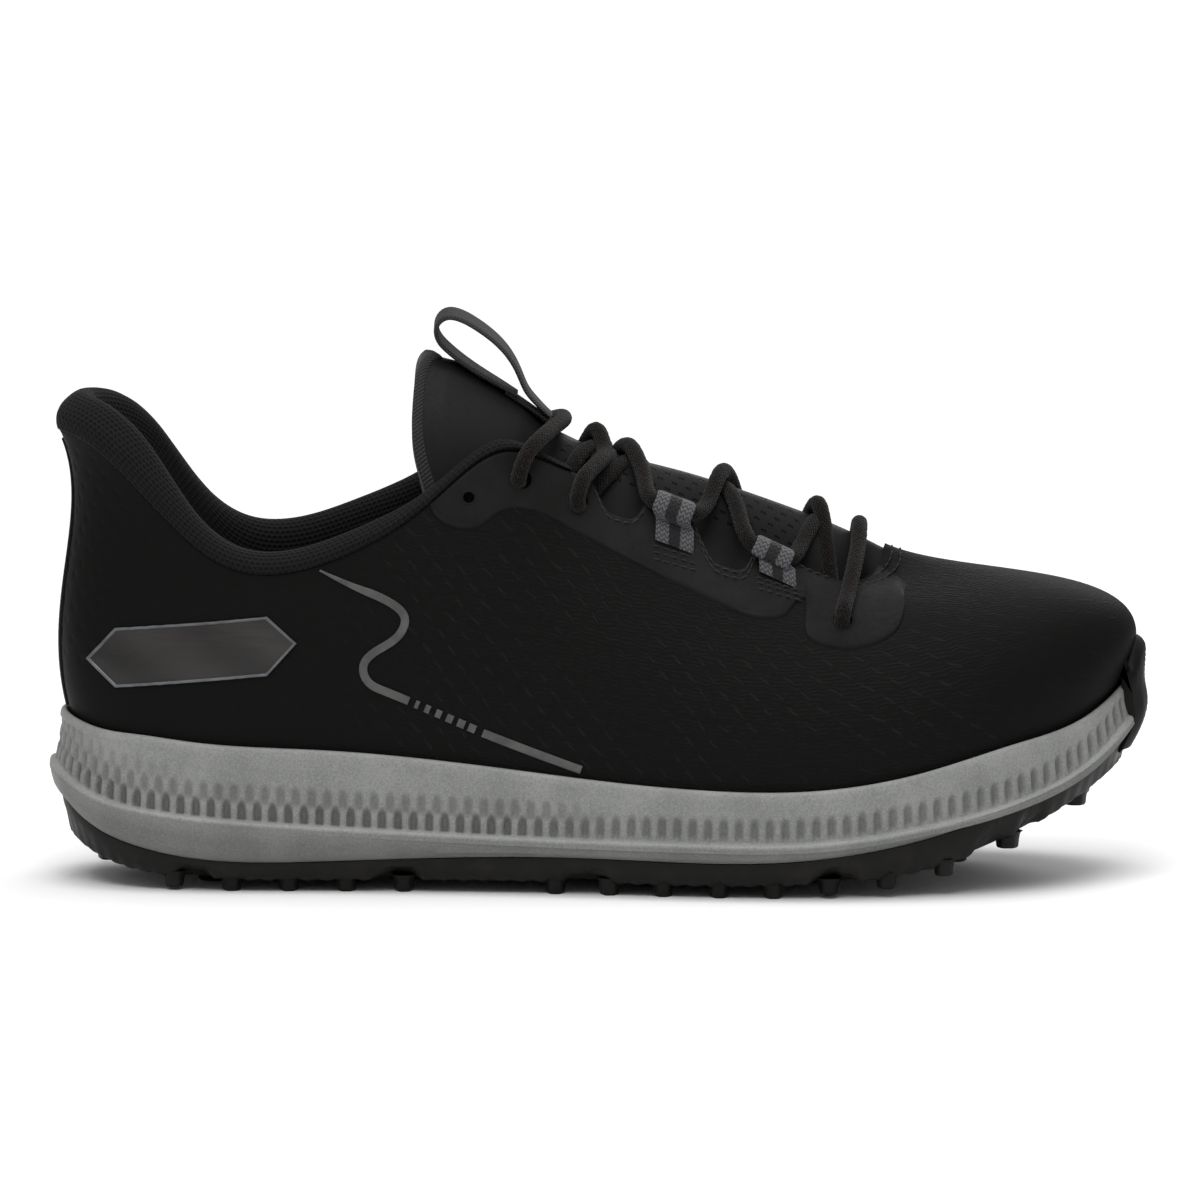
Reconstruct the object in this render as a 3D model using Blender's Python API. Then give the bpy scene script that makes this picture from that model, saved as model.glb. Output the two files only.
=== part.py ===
"""A slip-in golf shoe for the right foot, as the pieces it is put together from.

Lengths below are millimetres, and to_metres() turns them into Blender's metres. +X points to the toe,
-Y is the outer (lateral) side, +Z is up, and the origin is on the ground under the middle of the shoe.

Two shapes drive every piece. plan(t) is the outline of the sole, with t running from 0 at the back of the
heel, along the outer side, past 0.5 at the toe, and back along the inner side to 1. upper(t, s, d) is the
outer surface of the upper, with s running from 0 at the sole to 1 at the collar and the lacing edge, and d
a distance outwards from it. Linings, overlays and trims are layers of that surface.
"""

import math

import bmesh
import bpy
import numpy as np

STATIONS = 58  # how many points go round the shoe
GAP = 0.3  # between pieces that touch on the real shoe

RIM_INSET = 5.2  # from the sole's outline to the inside of the midsole's rim
CUP_DEPTH = 7.6  # how deep the upper sits in the midsole
UPPER_INSET = RIM_INSET + GAP
UPPER_THICKNESS = 1.8
STIFFENER = (2.1, 3.2)  # the depths of the heel counter and toe puff below the upper's surface
LINING = (3.5, 5.5)
SOLE_CORNER, SOLE_EDGE = 3.4, 7.0  # insets where the midsole's underside starts and turns flat
WALL_SHARE = 0.1  # the share of s that is the straight wall inside the midsole's rim
TOE_T = 0.5

# The sole's outline from above, from the back of the heel along the outer side to the toe and back.
OUTLINE = (
    (-150, 0), (-146.5, -16), (-135, -28.5), (-113, -35.5), (-80, -37), (-45, -38.5), (-10, -42.5),
    (25, -48.5), (58, -51), (88, -47.5), (113, -38.5), (133, -24), (144.5, -8), (148, 7), (144.5, 22),
    (133, 36), (112, 46.3), (85, 50.75), (55, 49.4), (20, 41), (-15, 34), (-50, 31.5), (-85, 33.5),
    (-115, 33.5), (-135, 28), (-146.5, 16),
)

# Heights along the sole, as (x, z): its top rim, the ledge between its two bands, the bottom of the midsole
# and the bottom of the rubber between the lugs.
RIM_LINE = (
    (-150, 46.5), (-138, 43.6), (-125, 42.5), (-110, 40.8), (-75, 38.8), (-28, 34.5), (0, 31.4), (28, 29.5),
    (57, 29.6), (87, 34.0), (115, 41.0), (135, 46.4), (148, 54),
)
LEDGE_LINE = (
    (-150, 33), (-143, 28.5), (-124, 22.8), (-100, 20.2), (-60, 17.8), (-17, 16.1), (25, 15.5), (59, 16.1),
    (89, 20.3), (120, 28), (138, 37.8), (148, 47.5),
)
SOLE_LINE = (
    (-150, 25), (-142, 18.4), (-130, 13.2), (-110, 9.2), (-80, 8.4), (-43, 9.8), (0, 10.3), (44, 10.0),
    (74, 13.2), (104, 20.6), (126, 29), (139, 35.8), (148, 42.5),
)
TREAD_LINE = (
    (-150, 17), (-140, 10.5), (-126, 5.6), (-100, 3.2), (-60, 3.2), (0, 3.4), (40, 3.4), (62, 4.3),
    (84, 6.8), (104, 12.4), (126, 22.4), (148, 35),
)


# The rows of one side, from the back of the heel to the toe, as (x, top, rise, spread, reach).
ROWS = (
    (-150, (-146.4, 0, 122.6), 30, 7.5, (10.5, 0, -22)),
    (-143, (-144.5, -10, 122.0), 29, 6, (8.5, 3.5, -21)),
    (-133, (-137.5, -18.5, 119.5), 26, 4.5, (3.5, 5, -20)),
    (-119, (-124, -26.5, 108.0), 21, 3.5, (1, 3, -18)),
    (-106, (-108, -30, 92.5), 16, 3, (0, 0, -15)),
    (-88, (-88, -31.5, 86.0), 14, 3, (0, -2, -14)),
    (-68, (-68, -31.2, 91.3), 16, 3, (0, -2.5, -15)),
    (-46, (-46, -28.5, 104.8), 20, 3, (0, -4.5, -18)),
    (-28, (-27, -23, 118.6), 24, 3, (0, -8, -23)),
    (-13, (-12, -18.5, 114.5), 25, 3, (0, -10, -22)),
    (4, (4, -17, 109.0), 25, 3, (0, -11.5, -20)),
    (28, (25, -16, 101.0), 24, 3, (1, -13, -17)),
    (55, (45, -15, 92.0), 21, 3, (3, -15, -13)),
    (80, (59, -14.2, 84.5), 19, 3.5, (8, -16, -8)),
    (102, (67.5, -12.5, 82.0), 22, 4.5, (18, -15, -4)),
    (124, (73, -9, 84.0), 28, 8, (28, -11, -6)),
    (141, (76.5, -4, 88.0), 32, 14, (28, -4, -9)),
    (148, (77.5, 0.5, 91.0), 33, 20, (22, 1.5, -10.5)),
)
INNER_SIDE_RAISE = (
    (-150, 0), (-125, 1.5), (-88, 2.5), (-46, 1.5), (-20, 0), (0, 0), (40, 0), (90, 0), (148, 0),
)

# The tongue's ridge, as (x, z), with the foam below it.
RIDGE_LINE = (
    (-47, 143.6), (-40, 140.4), (-30, 134.6), (-20, 128.0), (-10, 121.2), (0, 116.8), (12, 113.4),
    (25, 110.0), (38, 105.8), (51, 101.2), (62, 96.9), (72, 92.4), (88, 84.5),
)
RIDGE_Y = 0.5


def spline(keys, values, period=None):
    """A smooth cubic through the values at the keys, as a function. With a period it closes on itself."""
    keys = np.asarray(keys, float)
    values = np.asarray(values, float).reshape(len(keys), -1)
    if period:
        around = min(6, len(keys))
        keys = np.concatenate([keys[-around:] - period, keys, keys[:around] + period])
        values = np.concatenate([values[-around:], values, values[:around]])
    count = len(keys)
    gaps = np.diff(keys)
    slopes = np.diff(values, axis=0) / gaps[:, None]
    matrix, right = np.zeros((count, count)), np.zeros_like(values)
    for i in range(1, count - 1):
        matrix[i, i - 1 : i + 2] = gaps[i], 2 * (gaps[i - 1] + gaps[i]), gaps[i - 1]
        right[i] = 3 * (gaps[i] * slopes[i - 1] + gaps[i - 1] * slopes[i])
    matrix[0, :2], right[0] = (2, 1), 3 * slopes[0]
    matrix[-1, -2:], right[-1] = (1, 2), 3 * slopes[-1]
    tangents = np.linalg.solve(matrix, right)

    def at(x):
        x = np.mod(np.asarray(x, float), period) if period else np.asarray(x, float)
        i = np.clip(np.searchsorted(keys, x, side="right") - 1, 0, count - 2)
        u = np.clip((x - keys[i]) / gaps[i], 0, 1)[..., None]
        gap = gaps[i][..., None]
        found = (
            (1 + 2 * u) * (1 - u) ** 2 * values[i]
            + u * (1 - u) ** 2 * gap * tangents[i]
            + u * u * (3 - 2 * u) * values[i + 1]
            + u * u * (u - 1) * gap * tangents[i + 1]
        )
        return found[..., 0] if found.shape[-1] == 1 else found

    return at


def along(points):
    """A smooth function through points given as (x, value)."""
    return spline([p[0] for p in points], [p[1] for p in points])


def outline_curve(points):
    """A closed curve through the points, with t running evenly along it from 0 to 1."""
    points = np.array(points, float)
    chords = np.linalg.norm(np.roll(points, -1, axis=0) - points, axis=1)
    for _ in range(2):
        ends = np.concatenate([[0], np.cumsum(chords)])
        curve = spline(ends[:-1], points, period=ends[-1])
        steps = [curve(np.mod(np.linspace(a, b, 24), ends[-1])) for a, b in zip(ends[:-1], ends[1:])]
        chords = np.array([np.linalg.norm(np.diff(step, axis=0), axis=1).sum() for step in steps])
    ends = np.concatenate([[0], np.cumsum(chords)])
    return spline(ends[:-1] / ends[-1], points, period=1.0)


plan = outline_curve(OUTLINE)
rim_z, ledge_z = along(RIM_LINE), along(LEDGE_LINE)
sole_z, tread_z = along(SOLE_LINE), along(TREAD_LINE)
ridge_z = along(RIDGE_LINE)


def plan_normal(t):
    """The outward direction of the outline in the ground plane."""
    step = 1e-4
    dx, dy = np.moveaxis(plan(np.asarray(t) + step) - plan(np.asarray(t) - step), -1, 0)
    return np.stack([dy, -dx], axis=-1) / np.hypot(dx, dy)[..., None]


def inset(t, distance):
    return plan(t) - plan_normal(t) * distance


def t_on_side(x, inner):
    """Where the outline passes x on the outer or the inner side."""
    ts = np.linspace(1, TOE_T, 400) if inner else np.linspace(0, TOE_T, 400)
    return np.interp(x, plan(ts)[:, 0], ts)


def upper_rows():
    """The four Bezier points of every row round the shoe, as functions of t."""
    raise_z = along(INNER_SIDE_RAISE)
    keys, found = [], []
    for inner in (False, True):
        for x, top, rise, spread, reach in (ROWS[1:-1][::-1] if inner else ROWS):
            side = -1 if inner else 1
            t = {ROWS[0][0]: 0.0, ROWS[-1][0]: TOE_T}.get(x)
            t = float(t_on_side(x, inner)) if t is None else t
            foot = np.append(inset(t, UPPER_INSET), rim_z(plan(t)[0]) + 0.4)
            head = np.array(top) * (1, side, 1) + (0, 2 * RIDGE_Y * inner, raise_z(x) * inner)
            low = foot + np.append(plan_normal(t) * spread, rise)
            keys.append(t)
            found.append(np.concatenate([low, head + np.array(reach) * (1, side, 1), head]))
    order = np.argsort(keys)
    return spline(np.array(keys)[order], np.array(found)[order], period=1.0)


row_points = upper_rows()


def surface(t, s):
    """A point of the upper's outer surface."""
    t, s = np.broadcast_arrays(np.asarray(t, float), np.asarray(s, float))
    edge = inset(t, UPPER_INSET)
    rim = rim_z(plan(t)[..., 0])
    foot = np.concatenate([edge, (rim + 0.4)[..., None]], axis=-1)
    low, high, top = np.split(row_points(t), 3, axis=-1)
    u = np.clip((s - WALL_SHARE) / (1 - WALL_SHARE), 0, 1)[..., None]
    bend = (1 - u) ** 3 * foot + 3 * u * (1 - u) ** 2 * low + 3 * u * u * (1 - u) * high + u**3 * top
    down = np.clip(1 - s / WALL_SHARE, 0, 1) * (CUP_DEPTH + 0.1)
    bend[..., 2] -= down
    return bend


def surface_normal(t, s):
    step = 2e-3
    s = np.clip(s, step, 1 - step)
    round_it = surface(np.asarray(t) + step, s) - surface(np.asarray(t) - step, s)
    up_it = surface(t, s + step) - surface(t, s - step)
    normal = np.cross(round_it, up_it)
    return normal / np.linalg.norm(normal, axis=-1, keepdims=True)


def upper(t, s, d=0.0):
    """A point d outside the upper's surface, or inside it where d is negative."""
    t, s = np.broadcast_arrays(np.asarray(t, float), np.asarray(s, float))
    return surface(t, s) + surface_normal(t, s) * np.asarray(d, float)[..., None]


def top_t(x, inner):
    """Where the upper's top edge passes x on one side, in front of the heel."""
    ts = np.linspace(1 - 0.06, TOE_T, 400) if inner else np.linspace(0.06, TOE_T, 400)
    return np.interp(x, surface(ts, 1.0)[:, 0], ts)


def locate(x, z, inner):
    """The (t, s) of the point of the upper's side at x and height z."""
    ts = np.linspace(1 - 0.005, TOE_T, 240) if inner else np.linspace(0.005, TOE_T, 240)
    ss = np.linspace(0, 1, 120)
    grid = surface(ts[:, None], ss[None, :])
    rows = np.array([np.interp(z, column[:, 2], ss) for column in grid])
    xs = np.array([np.interp(s, ss, column[:, 0]) for s, column in zip(rows, grid)])
    t = np.interp(x, xs, ts)
    return float(t), float(np.interp(x, xs, rows))


def to_metres(points):
    return np.asarray(points, float) * 0.001


def material(name, colour, roughness, metallic=0.0):
    made = bpy.data.materials.new(name)
    made.use_nodes = True
    shader = made.node_tree.nodes["Principled BSDF"]
    shader.inputs["Base Color"].default_value = (*colour, 1)
    shader.inputs["Roughness"].default_value = roughness
    shader.inputs["Metallic"].default_value = metallic
    return made


def add_piece(name, points, faces, look, origin=(0, 0, 0), parent=None):
    """One closed body facing out, with its origin at a point in millimetres."""
    origin = to_metres(origin)
    mesh = bpy.data.meshes.new(name)
    mesh.from_pydata((to_metres(points) - origin).tolist(), [], faces)
    form = bmesh.new()
    form.from_mesh(mesh)
    bmesh.ops.triangulate(form, faces=form.faces[:])
    bmesh.ops.recalc_face_normals(form, faces=form.faces[:])
    if form.calc_volume(signed=True) < 0:
        bmesh.ops.reverse_faces(form, faces=form.faces[:])
    form.to_mesh(mesh)
    form.free()
    mesh.shade_smooth()
    mesh.set_sharp_from_angle(angle=math.radians(40))
    mesh.materials.append(look)
    piece = bpy.data.objects.new(name, mesh)
    bpy.context.collection.objects.link(piece)
    piece.location = origin
    if parent:
        piece.parent = parent
        piece.matrix_parent_inverse = parent.matrix_world.inverted()
    return piece


def strips(rings, wrap_rings, wrap_points):
    """Four-sided faces between neighbouring rings of points."""
    rows, columns = rings
    last_row = rows if wrap_rings else rows - 1
    last_column = columns if wrap_points else columns - 1
    return [
        (
            r * columns + c,
            r * columns + (c + 1) % columns,
            (r + 1) % rows * columns + (c + 1) % columns,
            (r + 1) % rows * columns + c,
        )
        for r in range(last_row)
        for c in range(last_column)
    ]


def ladder(start, count):
    """Faces across a closed ring that starts at the back of the heel, joining its two sides like rungs."""
    faces = [(start, start + 1, start + count - 1)]
    half = count // 2
    for i in range(1, half - 1):
        faces.append((start + i, start + i + 1, start + count - i - 1, start + count - i))
    faces.append((start + half - 1, start + half, start + half + 1))
    return faces


def stack(name, rings, look, **more):
    """A solid from closed rings, from its bottom to its top, each capped by rungs."""
    rings = np.array(rings)
    levels, count = rings.shape[:2]
    faces = strips((levels, count), False, True)
    faces += ladder(0, count)
    faces += ladder((levels - 1) * count, count)
    return add_piece(name, rings.reshape(-1, 3), faces, look, **more)


def tube_of_sections(name, sections, look, closed=False, **more):
    """A solid swept through closed sections of points. An open one is capped at both ends."""
    sections = np.array(sections)
    rows, count = sections.shape[:2]
    faces = strips((rows, count), closed, True)
    if not closed:
        faces += [tuple(range(count)), tuple(range((rows - 1) * count, rows * count))[::-1]]
    return add_piece(name, sections.reshape(-1, 3), faces, look, **more)


def layer(outside, inside):
    """Sections across a sheet, one for each column of its grid: up its outside and back down its inside."""
    return np.concatenate([outside, inside[:, ::-1]], axis=1)


def ribbon(path, across, width, thickness):
    """Sections of webbing along a path, with its width along across: one direction or one a point."""
    path = np.array(path, float)
    across = np.array(across, float) / np.linalg.norm(across, axis=-1, keepdims=True)
    ahead = np.gradient(path, axis=0)
    ahead /= np.linalg.norm(ahead, axis=1, keepdims=True)
    face = np.cross(across, ahead)
    face /= np.linalg.norm(face, axis=1, keepdims=True)
    side, face = across * width / 2, face * thickness / 2
    return np.stack([path - side - face, path + side - face, path + side + face, path - side + face], axis=1)


def resample(points, spacing):
    """Points about so far apart on a smooth curve through the given ones."""
    points = np.array(points, float)
    ends = np.concatenate([[0], np.cumsum(np.linalg.norm(np.diff(points, axis=0), axis=1))])
    return spline(ends, points)(np.linspace(0, ends[-1], int(ends[-1] / spacing) + 2))


def station_ts():
    """Stations round the shoe, closer together at the heel and the toe."""
    u = np.arange(STATIONS) / STATIONS
    return u - 0.02 * np.sin(4 * math.pi * u)


TS = station_ts()
# The upper's rows of points, as values of s.
LEVELS = WALL_SHARE + (1 - WALL_SHARE) * np.array([0, 0.12, 0.25, 0.38, 0.5, 0.62, 0.74, 0.86, 1.0])
LEVELS = np.concatenate([[0.0], LEVELS])


def sole_ring(distance, height, flat=False):
    """A ring at one inset, with its height from the outline's x or, if flat, from its own x."""
    ring = inset(TS, distance)
    return np.column_stack([ring, height(ring[:, 0] if flat else plan(TS)[:, 0])])


def make_midsole(look):
    profile = (
        (SOLE_CORNER, lambda x: sole_z(x) + 0.1),
        (1.6, lambda x: sole_z(x) + 1.5),
        (0.4, lambda x: (sole_z(x) + ledge_z(x)) / 2),
        (0.0, lambda x: ledge_z(x) - 2.2),
        (0.4, lambda x: ledge_z(x) - 0.5),
        (1.2, lambda x: ledge_z(x)),
        (1.7, lambda x: ledge_z(x) + 0.8),
        (2.5, lambda x: (ledge_z(x) + rim_z(x)) / 2),
        (2.8, lambda x: rim_z(x) - 2.0),
        (3.3, lambda x: rim_z(x) - 0.4),
        (4.1, lambda x: rim_z(x)),
        (4.9, lambda x: rim_z(x) - 0.3),
        (RIM_INSET, lambda x: rim_z(x) - 1.2),
        (RIM_INSET, lambda x: rim_z(x) - CUP_DEPTH),
        (9.0, lambda x: rim_z(x) - CUP_DEPTH),
    )
    rings = [sole_ring(SOLE_EDGE, sole_z, flat=True)] + [sole_ring(d, z) for d, z in profile]
    return stack("midsole", rings, look)


LUG_HEIGHT = 3.2
LUG_ROOT = 1.4  # how far a lug reaches up into the tread


def lug_places():
    """Where the lugs stand, as (x, y, half length, half width)."""
    places = []
    for inner in (False, True):
        for x in (-115, -99.5, -84, -68.5, -53, -12, 2.5, 17, 32, 46.5, 61.5, 77, 92.5):
            edge = plan(t_on_side(x, inner))[1]
            places.append((x, edge - math.copysign(9.5, edge), 2.5, 3.4))
        for x in (112, 131):
            edge = plan(t_on_side(x, inner))[1]
            places.append((x - 2, edge - math.copysign(12 if x < 120 else 16, edge), 3.0, 3.2))
    for x in (-105, -87, -69):
        for y in (-9, 8):
            places.append((x, y, 4.2, 3.4))
    for x in np.linspace(12, 96, 6):
        for y in (-19, 0, 19):
            places.append((x, y + 1, 3.4, 3.4))
    places.append((-134, 0, 3.0, 5.0))
    places.append((-29, -3, 3.2, 9.0))
    places.append((131, 6, 2.8, 5.5))
    return places


def lug_block(x, y, half_length, half_width):
    """One lug, wide where it joins the tread, with chamfered corners."""
    bottom = tread_z(x) - LUG_HEIGHT
    if bottom < 0.6:
        bottom = 0.0  # these lugs share the ground
    points, turns = [], np.radians([30, 90, 150, 210, 270, 330])
    for z, share in ((bottom, 0.92), (tread_z(x) + LUG_ROOT, 1.3)):
        for turn in turns:
            ahead, aside = half_length * share * math.cos(turn), half_width * share * math.sin(turn)
            points.append((x + ahead, y + aside, z))
    count = len(turns)
    faces = [tuple(range(count))[::-1], tuple(range(count, 2 * count))]
    faces += [(i, (i + 1) % count, count + (i + 1) % count, count + i) for i in range(count)]
    return points, faces


def make_outsole(look):
    rings = [
        sole_ring(12.0, tread_z, flat=True),
        sole_ring(6.4, tread_z, flat=True),
        sole_ring(5.2, lambda x: tread_z(x) + 0.7, flat=True),
        sole_ring(4.0, lambda x: (tread_z(x) + sole_z(x)) / 2),
        sole_ring(SOLE_CORNER, lambda x: sole_z(x) + 0.1 - GAP),
        sole_ring(SOLE_EDGE, lambda x: sole_z(x) - GAP, flat=True),
    ]
    outsole = stack("outsole", rings, look)
    points, faces = [], []
    for place in lug_places():
        block, sides = lug_block(*place)
        faces += [tuple(len(points) + i for i in side) for side in sides]
        points += block
    lugs = add_piece("lug_blocks", points, faces, look)
    lugs.hide_render = True
    lugs.display_type = "WIRE"
    union = outsole.modifiers.new("lugs", "BOOLEAN")
    union.operation = "UNION"
    union.solver = "EXACT"
    union.object = lugs
    return outsole


def make_toe_bumper(look):
    """The rubber that turns up over the toe, outside the midsole and the tip of the upper."""
    near = np.linspace(0.4785, 0.5215, 11)
    clear, thickness, top_z = 0.8, 1.4, 65.0
    sections = []
    for t in near:
        x = float(plan(t)[0])
        fall = ((t - TOE_T) / 0.036) ** 2
        s_top = np.interp(top_z - 14 * fall, surface(t, np.linspace(0, 1, 80))[:, 2], np.linspace(0, 1, 80))
        sole_path = [
            np.append(inset(t, d), z)
            for d, z in (
                (4.2, sole_z(x) - 6.0), (2.0, sole_z(x) - 2.0), (0.6, sole_z(x) + 1.5), (0.0, ledge_z(x)),
                (0.9, rim_z(x) - 1.5), (1.6, rim_z(x) + 2.5),
            )
        ]
        rise = np.linspace(WALL_SHARE + 0.05, float(s_top), 3)
        sole_path += [upper(t, s, 0.0) for s in rise]
        path = np.array(sole_path)
        out = np.append(plan_normal(t), 0.0)
        ahead = np.gradient(path, axis=0)
        side = np.cross(out, (0, 0, 1))
        face = np.cross(ahead, side)
        face /= np.linalg.norm(face, axis=1, keepdims=True)
        face *= np.sign(face @ out)[:, None]
        sections.append(np.concatenate([path + face * clear, (path + face * (clear + thickness))[::-1]]))
    return tube_of_sections("toe_bumper", sections, look)


def make_boards(board_look, insole_look):
    board = ((11.5, -CUP_DEPTH + 0.3), (11.5, -CUP_DEPTH + 1.7))
    rings = [sole_ring(d, lambda x, up=up: rim_z(x) + up) for d, up in board]
    stack("strobel_board", rings, board_look)
    foot = ((12.0, -5.6), (11.8, 1.8), (13.4, 2.0), (18.0, -1.2))
    rings = [sole_ring(d, lambda x, up=up: rim_z(x) + up) for d, up in foot]
    stack("insole", rings, insole_look)


def shell(name, ts, levels, near, far, look, closed=False):
    """A layer of the upper between two depths below its surface."""
    grid = np.asarray(ts)[:, None]
    levels = np.asarray(levels)
    sections = layer(upper(grid, levels, -near), upper(grid, levels, -far))
    return tube_of_sections(name, sections, look, closed=closed)


LINING_TOP = ((-150, 0.746), (-20, 0.746), (0, 0.72), (50, 0.69), (60, 0.6), (70, 0.6), (77.5, 0.69))


def make_upper(upper_look, stiff_look, lining_look):
    """The upper, the stiffeners behind it and the lining, and returns the upper."""
    outer = shell("upper_shell", TS, LEVELS[None, :], 0.0, UPPER_THICKNESS, upper_look, closed=True)
    wrapped = np.concatenate([TS[-13:] - 1, TS[:14]])
    shell("heel_counter", wrapped, LEVELS[None, :7], *STIFFENER, stiff_look)
    toe = TS[(TS > 0.415) & (TS < 0.585)]
    shell("toe_puff", toe, LEVELS[None, :5], *STIFFENER, stiff_look)
    share = np.interp(surface(TS, 1.0)[:, 0], *zip(*LINING_TOP))
    levels = np.column_stack([np.tile(LEVELS[:6], (len(TS), 1)), np.minimum(LEVELS[6], share - 0.02), share])
    shell("lining", TS, levels, *LINING, lining_look, closed=True)
    return outer


COLLAR_END = -23  # x of both ends of the collar
CREST_RISE = (
    (-150, 10.2), (-138, 10.5), (-124, 12.0), (-108, 8.2), (-88, 6.0), (-60, 5.6), (-46, 4.0), (-19, 2.4),
)
CREST_INSET = ((-150, 7.6), (-124, 6.0), (-108, 4.6), (-60, 4.2), (-46, 3.6), (-19, 2.4))
PAD_DEPTH = ((-150, 10.5), (-124, 10.0), (-88, 8.6), (-60, 7.6), (-46, 6.8), (-19, 4.6))


def make_collar(look):
    """The padded collar, which sits on the upper's top edge and hangs down inside it."""
    outer_end, inner_end = float(top_t(COLLAR_END, False)), float(top_t(COLLAR_END, True)) - 1
    inside = TS[TS < outer_end]
    ts = np.concatenate([[inner_end], TS[TS - 1 > inner_end] - 1, inside, [outer_end]])
    rise, crest, depth = along(CREST_RISE), along(CREST_INSET), along(PAD_DEPTH)
    sections = []
    for t in ts:
        top = upper(t, 1.0)
        x = top[0]
        out = surface_normal(t, 0.98)
        out = np.array([out[0], out[1], 0.0]) / np.hypot(out[0], out[1])
        up = np.array([0, 0, 1.0])
        h, c, d = float(rise(x)), float(crest(x)), float(depth(x))
        low = LEVELS[7] + 0.02
        sections.append([
            upper(t, 1.0, -0.2) + up * 0.35,
            top + out * 0.9 + up * h * 0.3,
            top + out * (0.4 - c * 0.2) + up * h * 0.72,
            top - out * c + up * h,
            top - out * (c + (d - c) * 0.6) + up * h * 0.8,
            top - out * d + up * h * 0.3,
            upper(t, 1 - (1 - low) * 0.35, -d - 0.4),
            upper(t, low, -d + 1.5),
            upper(t, low, -UPPER_THICKNESS - 3 * GAP),
            upper(t, 1 - (1 - low) * 0.35, -UPPER_THICKNESS - 3 * GAP),
            upper(t, 1.0, -UPPER_THICKNESS - 2 * GAP),
            upper(t, 1.0, -UPPER_THICKNESS + 0.1) + up * 0.35,
        ])
    return tube_of_sections("collar_pad", sections, look)


def tongue_section(x, clearance, columns):
    """Points across the tongue at x, from deep under the outer eyestay over the ridge to the inner one."""
    found = []
    for inner in (False, True):
        t = float(top_t(x, inner))
        deep = upper(t, 0.88, -clearance)
        edge = upper(t, 0.985, -clearance)
        deep[0], edge[0] = x, x
        found.append((deep, edge))
    ridge = np.array([x, RIDGE_Y, float(ridge_z(x))])
    shoulders = [(ridge * 0.56 + edge * 0.44) + (0, 0, 0.22 * (ridge[2] - edge[2])) for _, edge in found]
    points = [found[0][0], found[0][1], shoulders[0], ridge, shoulders[1], found[1][1], found[1][0]]
    points = np.array(points)
    ends = np.concatenate([[0], np.cumsum(np.linalg.norm(np.diff(points, axis=0), axis=1))])
    return spline(ends / ends[-1], points)(np.linspace(0, 1, columns))


TONGUE_CLEARANCE = ((-47, 9.8), (-30, 8.4), (-19, 7.6), (0, 7.6), (60, 7.6), (88, 7.0))
HINGE = (-13.5, RIDGE_Y, 122.4)  # the crease at the top lace, which the tongue's flap tips about
BINDING_X = (-46.6, -43.6)  # the knit strip round the flap's free end
TONGUE_COLUMNS = 13


def tongue_grid(xs, skew, clearance):
    """A grid over the tongue. skew moves the wings of each section along x."""
    wings = np.linspace(-1, 1, TONGUE_COLUMNS) ** 2
    grid = []
    for x, lean in zip(xs, skew):
        places = [x + lean * wing for wing in wings]
        shifted = [tongue_section(p, clearance(x), TONGUE_COLUMNS)[i] for i, p in enumerate(places)]
        grid.append(shifted)
    return np.array(grid)


def thicken(grid, thickness):
    """A solid below a grid of points, with its sections across the first direction."""
    ahead, across = np.gradient(grid, axis=0), np.gradient(grid, axis=1)
    normal = np.cross(ahead, across)
    normal /= np.linalg.norm(normal, axis=-1, keepdims=True)
    normal *= np.sign(normal[..., 2].mean())
    return layer(grid, grid - normal * thickness)


def make_tongue(flap_look, lower_look, binding_look, flap_hinge):
    clearance = along(TONGUE_CLEARANCE)
    body = np.linspace(BINDING_X[1] + 3 * GAP, HINGE[0] - 1.2, 8)
    xs = np.concatenate([BINDING_X, body])
    skew = np.interp(xs, (BINDING_X[1], xs[-1]), (-2.5, -8))
    sections = thicken(tongue_grid(xs, skew, clearance), 6.0)
    tube_of_sections("tongue_binding", sections[:2], binding_look, origin=HINGE, parent=flap_hinge)
    tube_of_sections("tongue_flap", sections[2:], flap_look, origin=HINGE, parent=flap_hinge)
    xs = np.linspace(HINGE[0] + 1.2, 71, 12)
    skew = np.interp(xs, (xs[0], xs[0] + 20), (-3.5, 0))
    lower = thicken(tongue_grid(xs, skew, clearance), 4.6)
    return tube_of_sections("tongue_lower", lower, lower_look)


PULL_PIVOT = (-17.2, RIDGE_Y, 129.7)
PULL_WIDTH, PULL_THICKNESS = 13.0, 1.3
# The pull loop's webbing seen from the side, as (x, z), from its sewn end over the finger gap and back.
PULL_PATH = (
    (-17.4, 130.0), (-19.8, 133.0), (-21.8, 137.4), (-25.0, 143.2), (-29.4, 147.8), (-33.8, 151.0),
    (-38.0, 153.2), (-41.6, 153.6), (-44.0, 151.6), (-44.2, 148.4), (-41.4, 144.6), (-37.0, 141.0),
    (-31.6, 137.4), (-26.6, 134.4), (-22.6, 131.9),
)


def make_pull(look, flap_hinge, pull_hinge):
    path = [(x, RIDGE_Y, z) for x, z in PULL_PATH]
    sections = ribbon(resample(path, 3.4), (0, 1, 0), PULL_WIDTH, PULL_THICKNESS)
    tube_of_sections("pull_loop", sections, look, origin=PULL_PIVOT, parent=pull_hinge)
    xs = np.linspace(-21.0, HINGE[0] - 1.6, 5)
    path = [(x, RIDGE_Y, float(ridge_z(x)) + 1.4) for x in xs]
    strap = ribbon(path, (0, 1, 0), PULL_WIDTH - 1, 1.1)
    tube_of_sections("pull_strap", strap, look, origin=HINGE, parent=flap_hinge)


LACE_WIDTH = 4.4
LACE_CLEARANCE = 0.4  # round the lace, where it presses on its neighbours or runs through an eyelet
OVER = 4.6  # how much higher the upper one of two crossing laces lies
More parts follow.
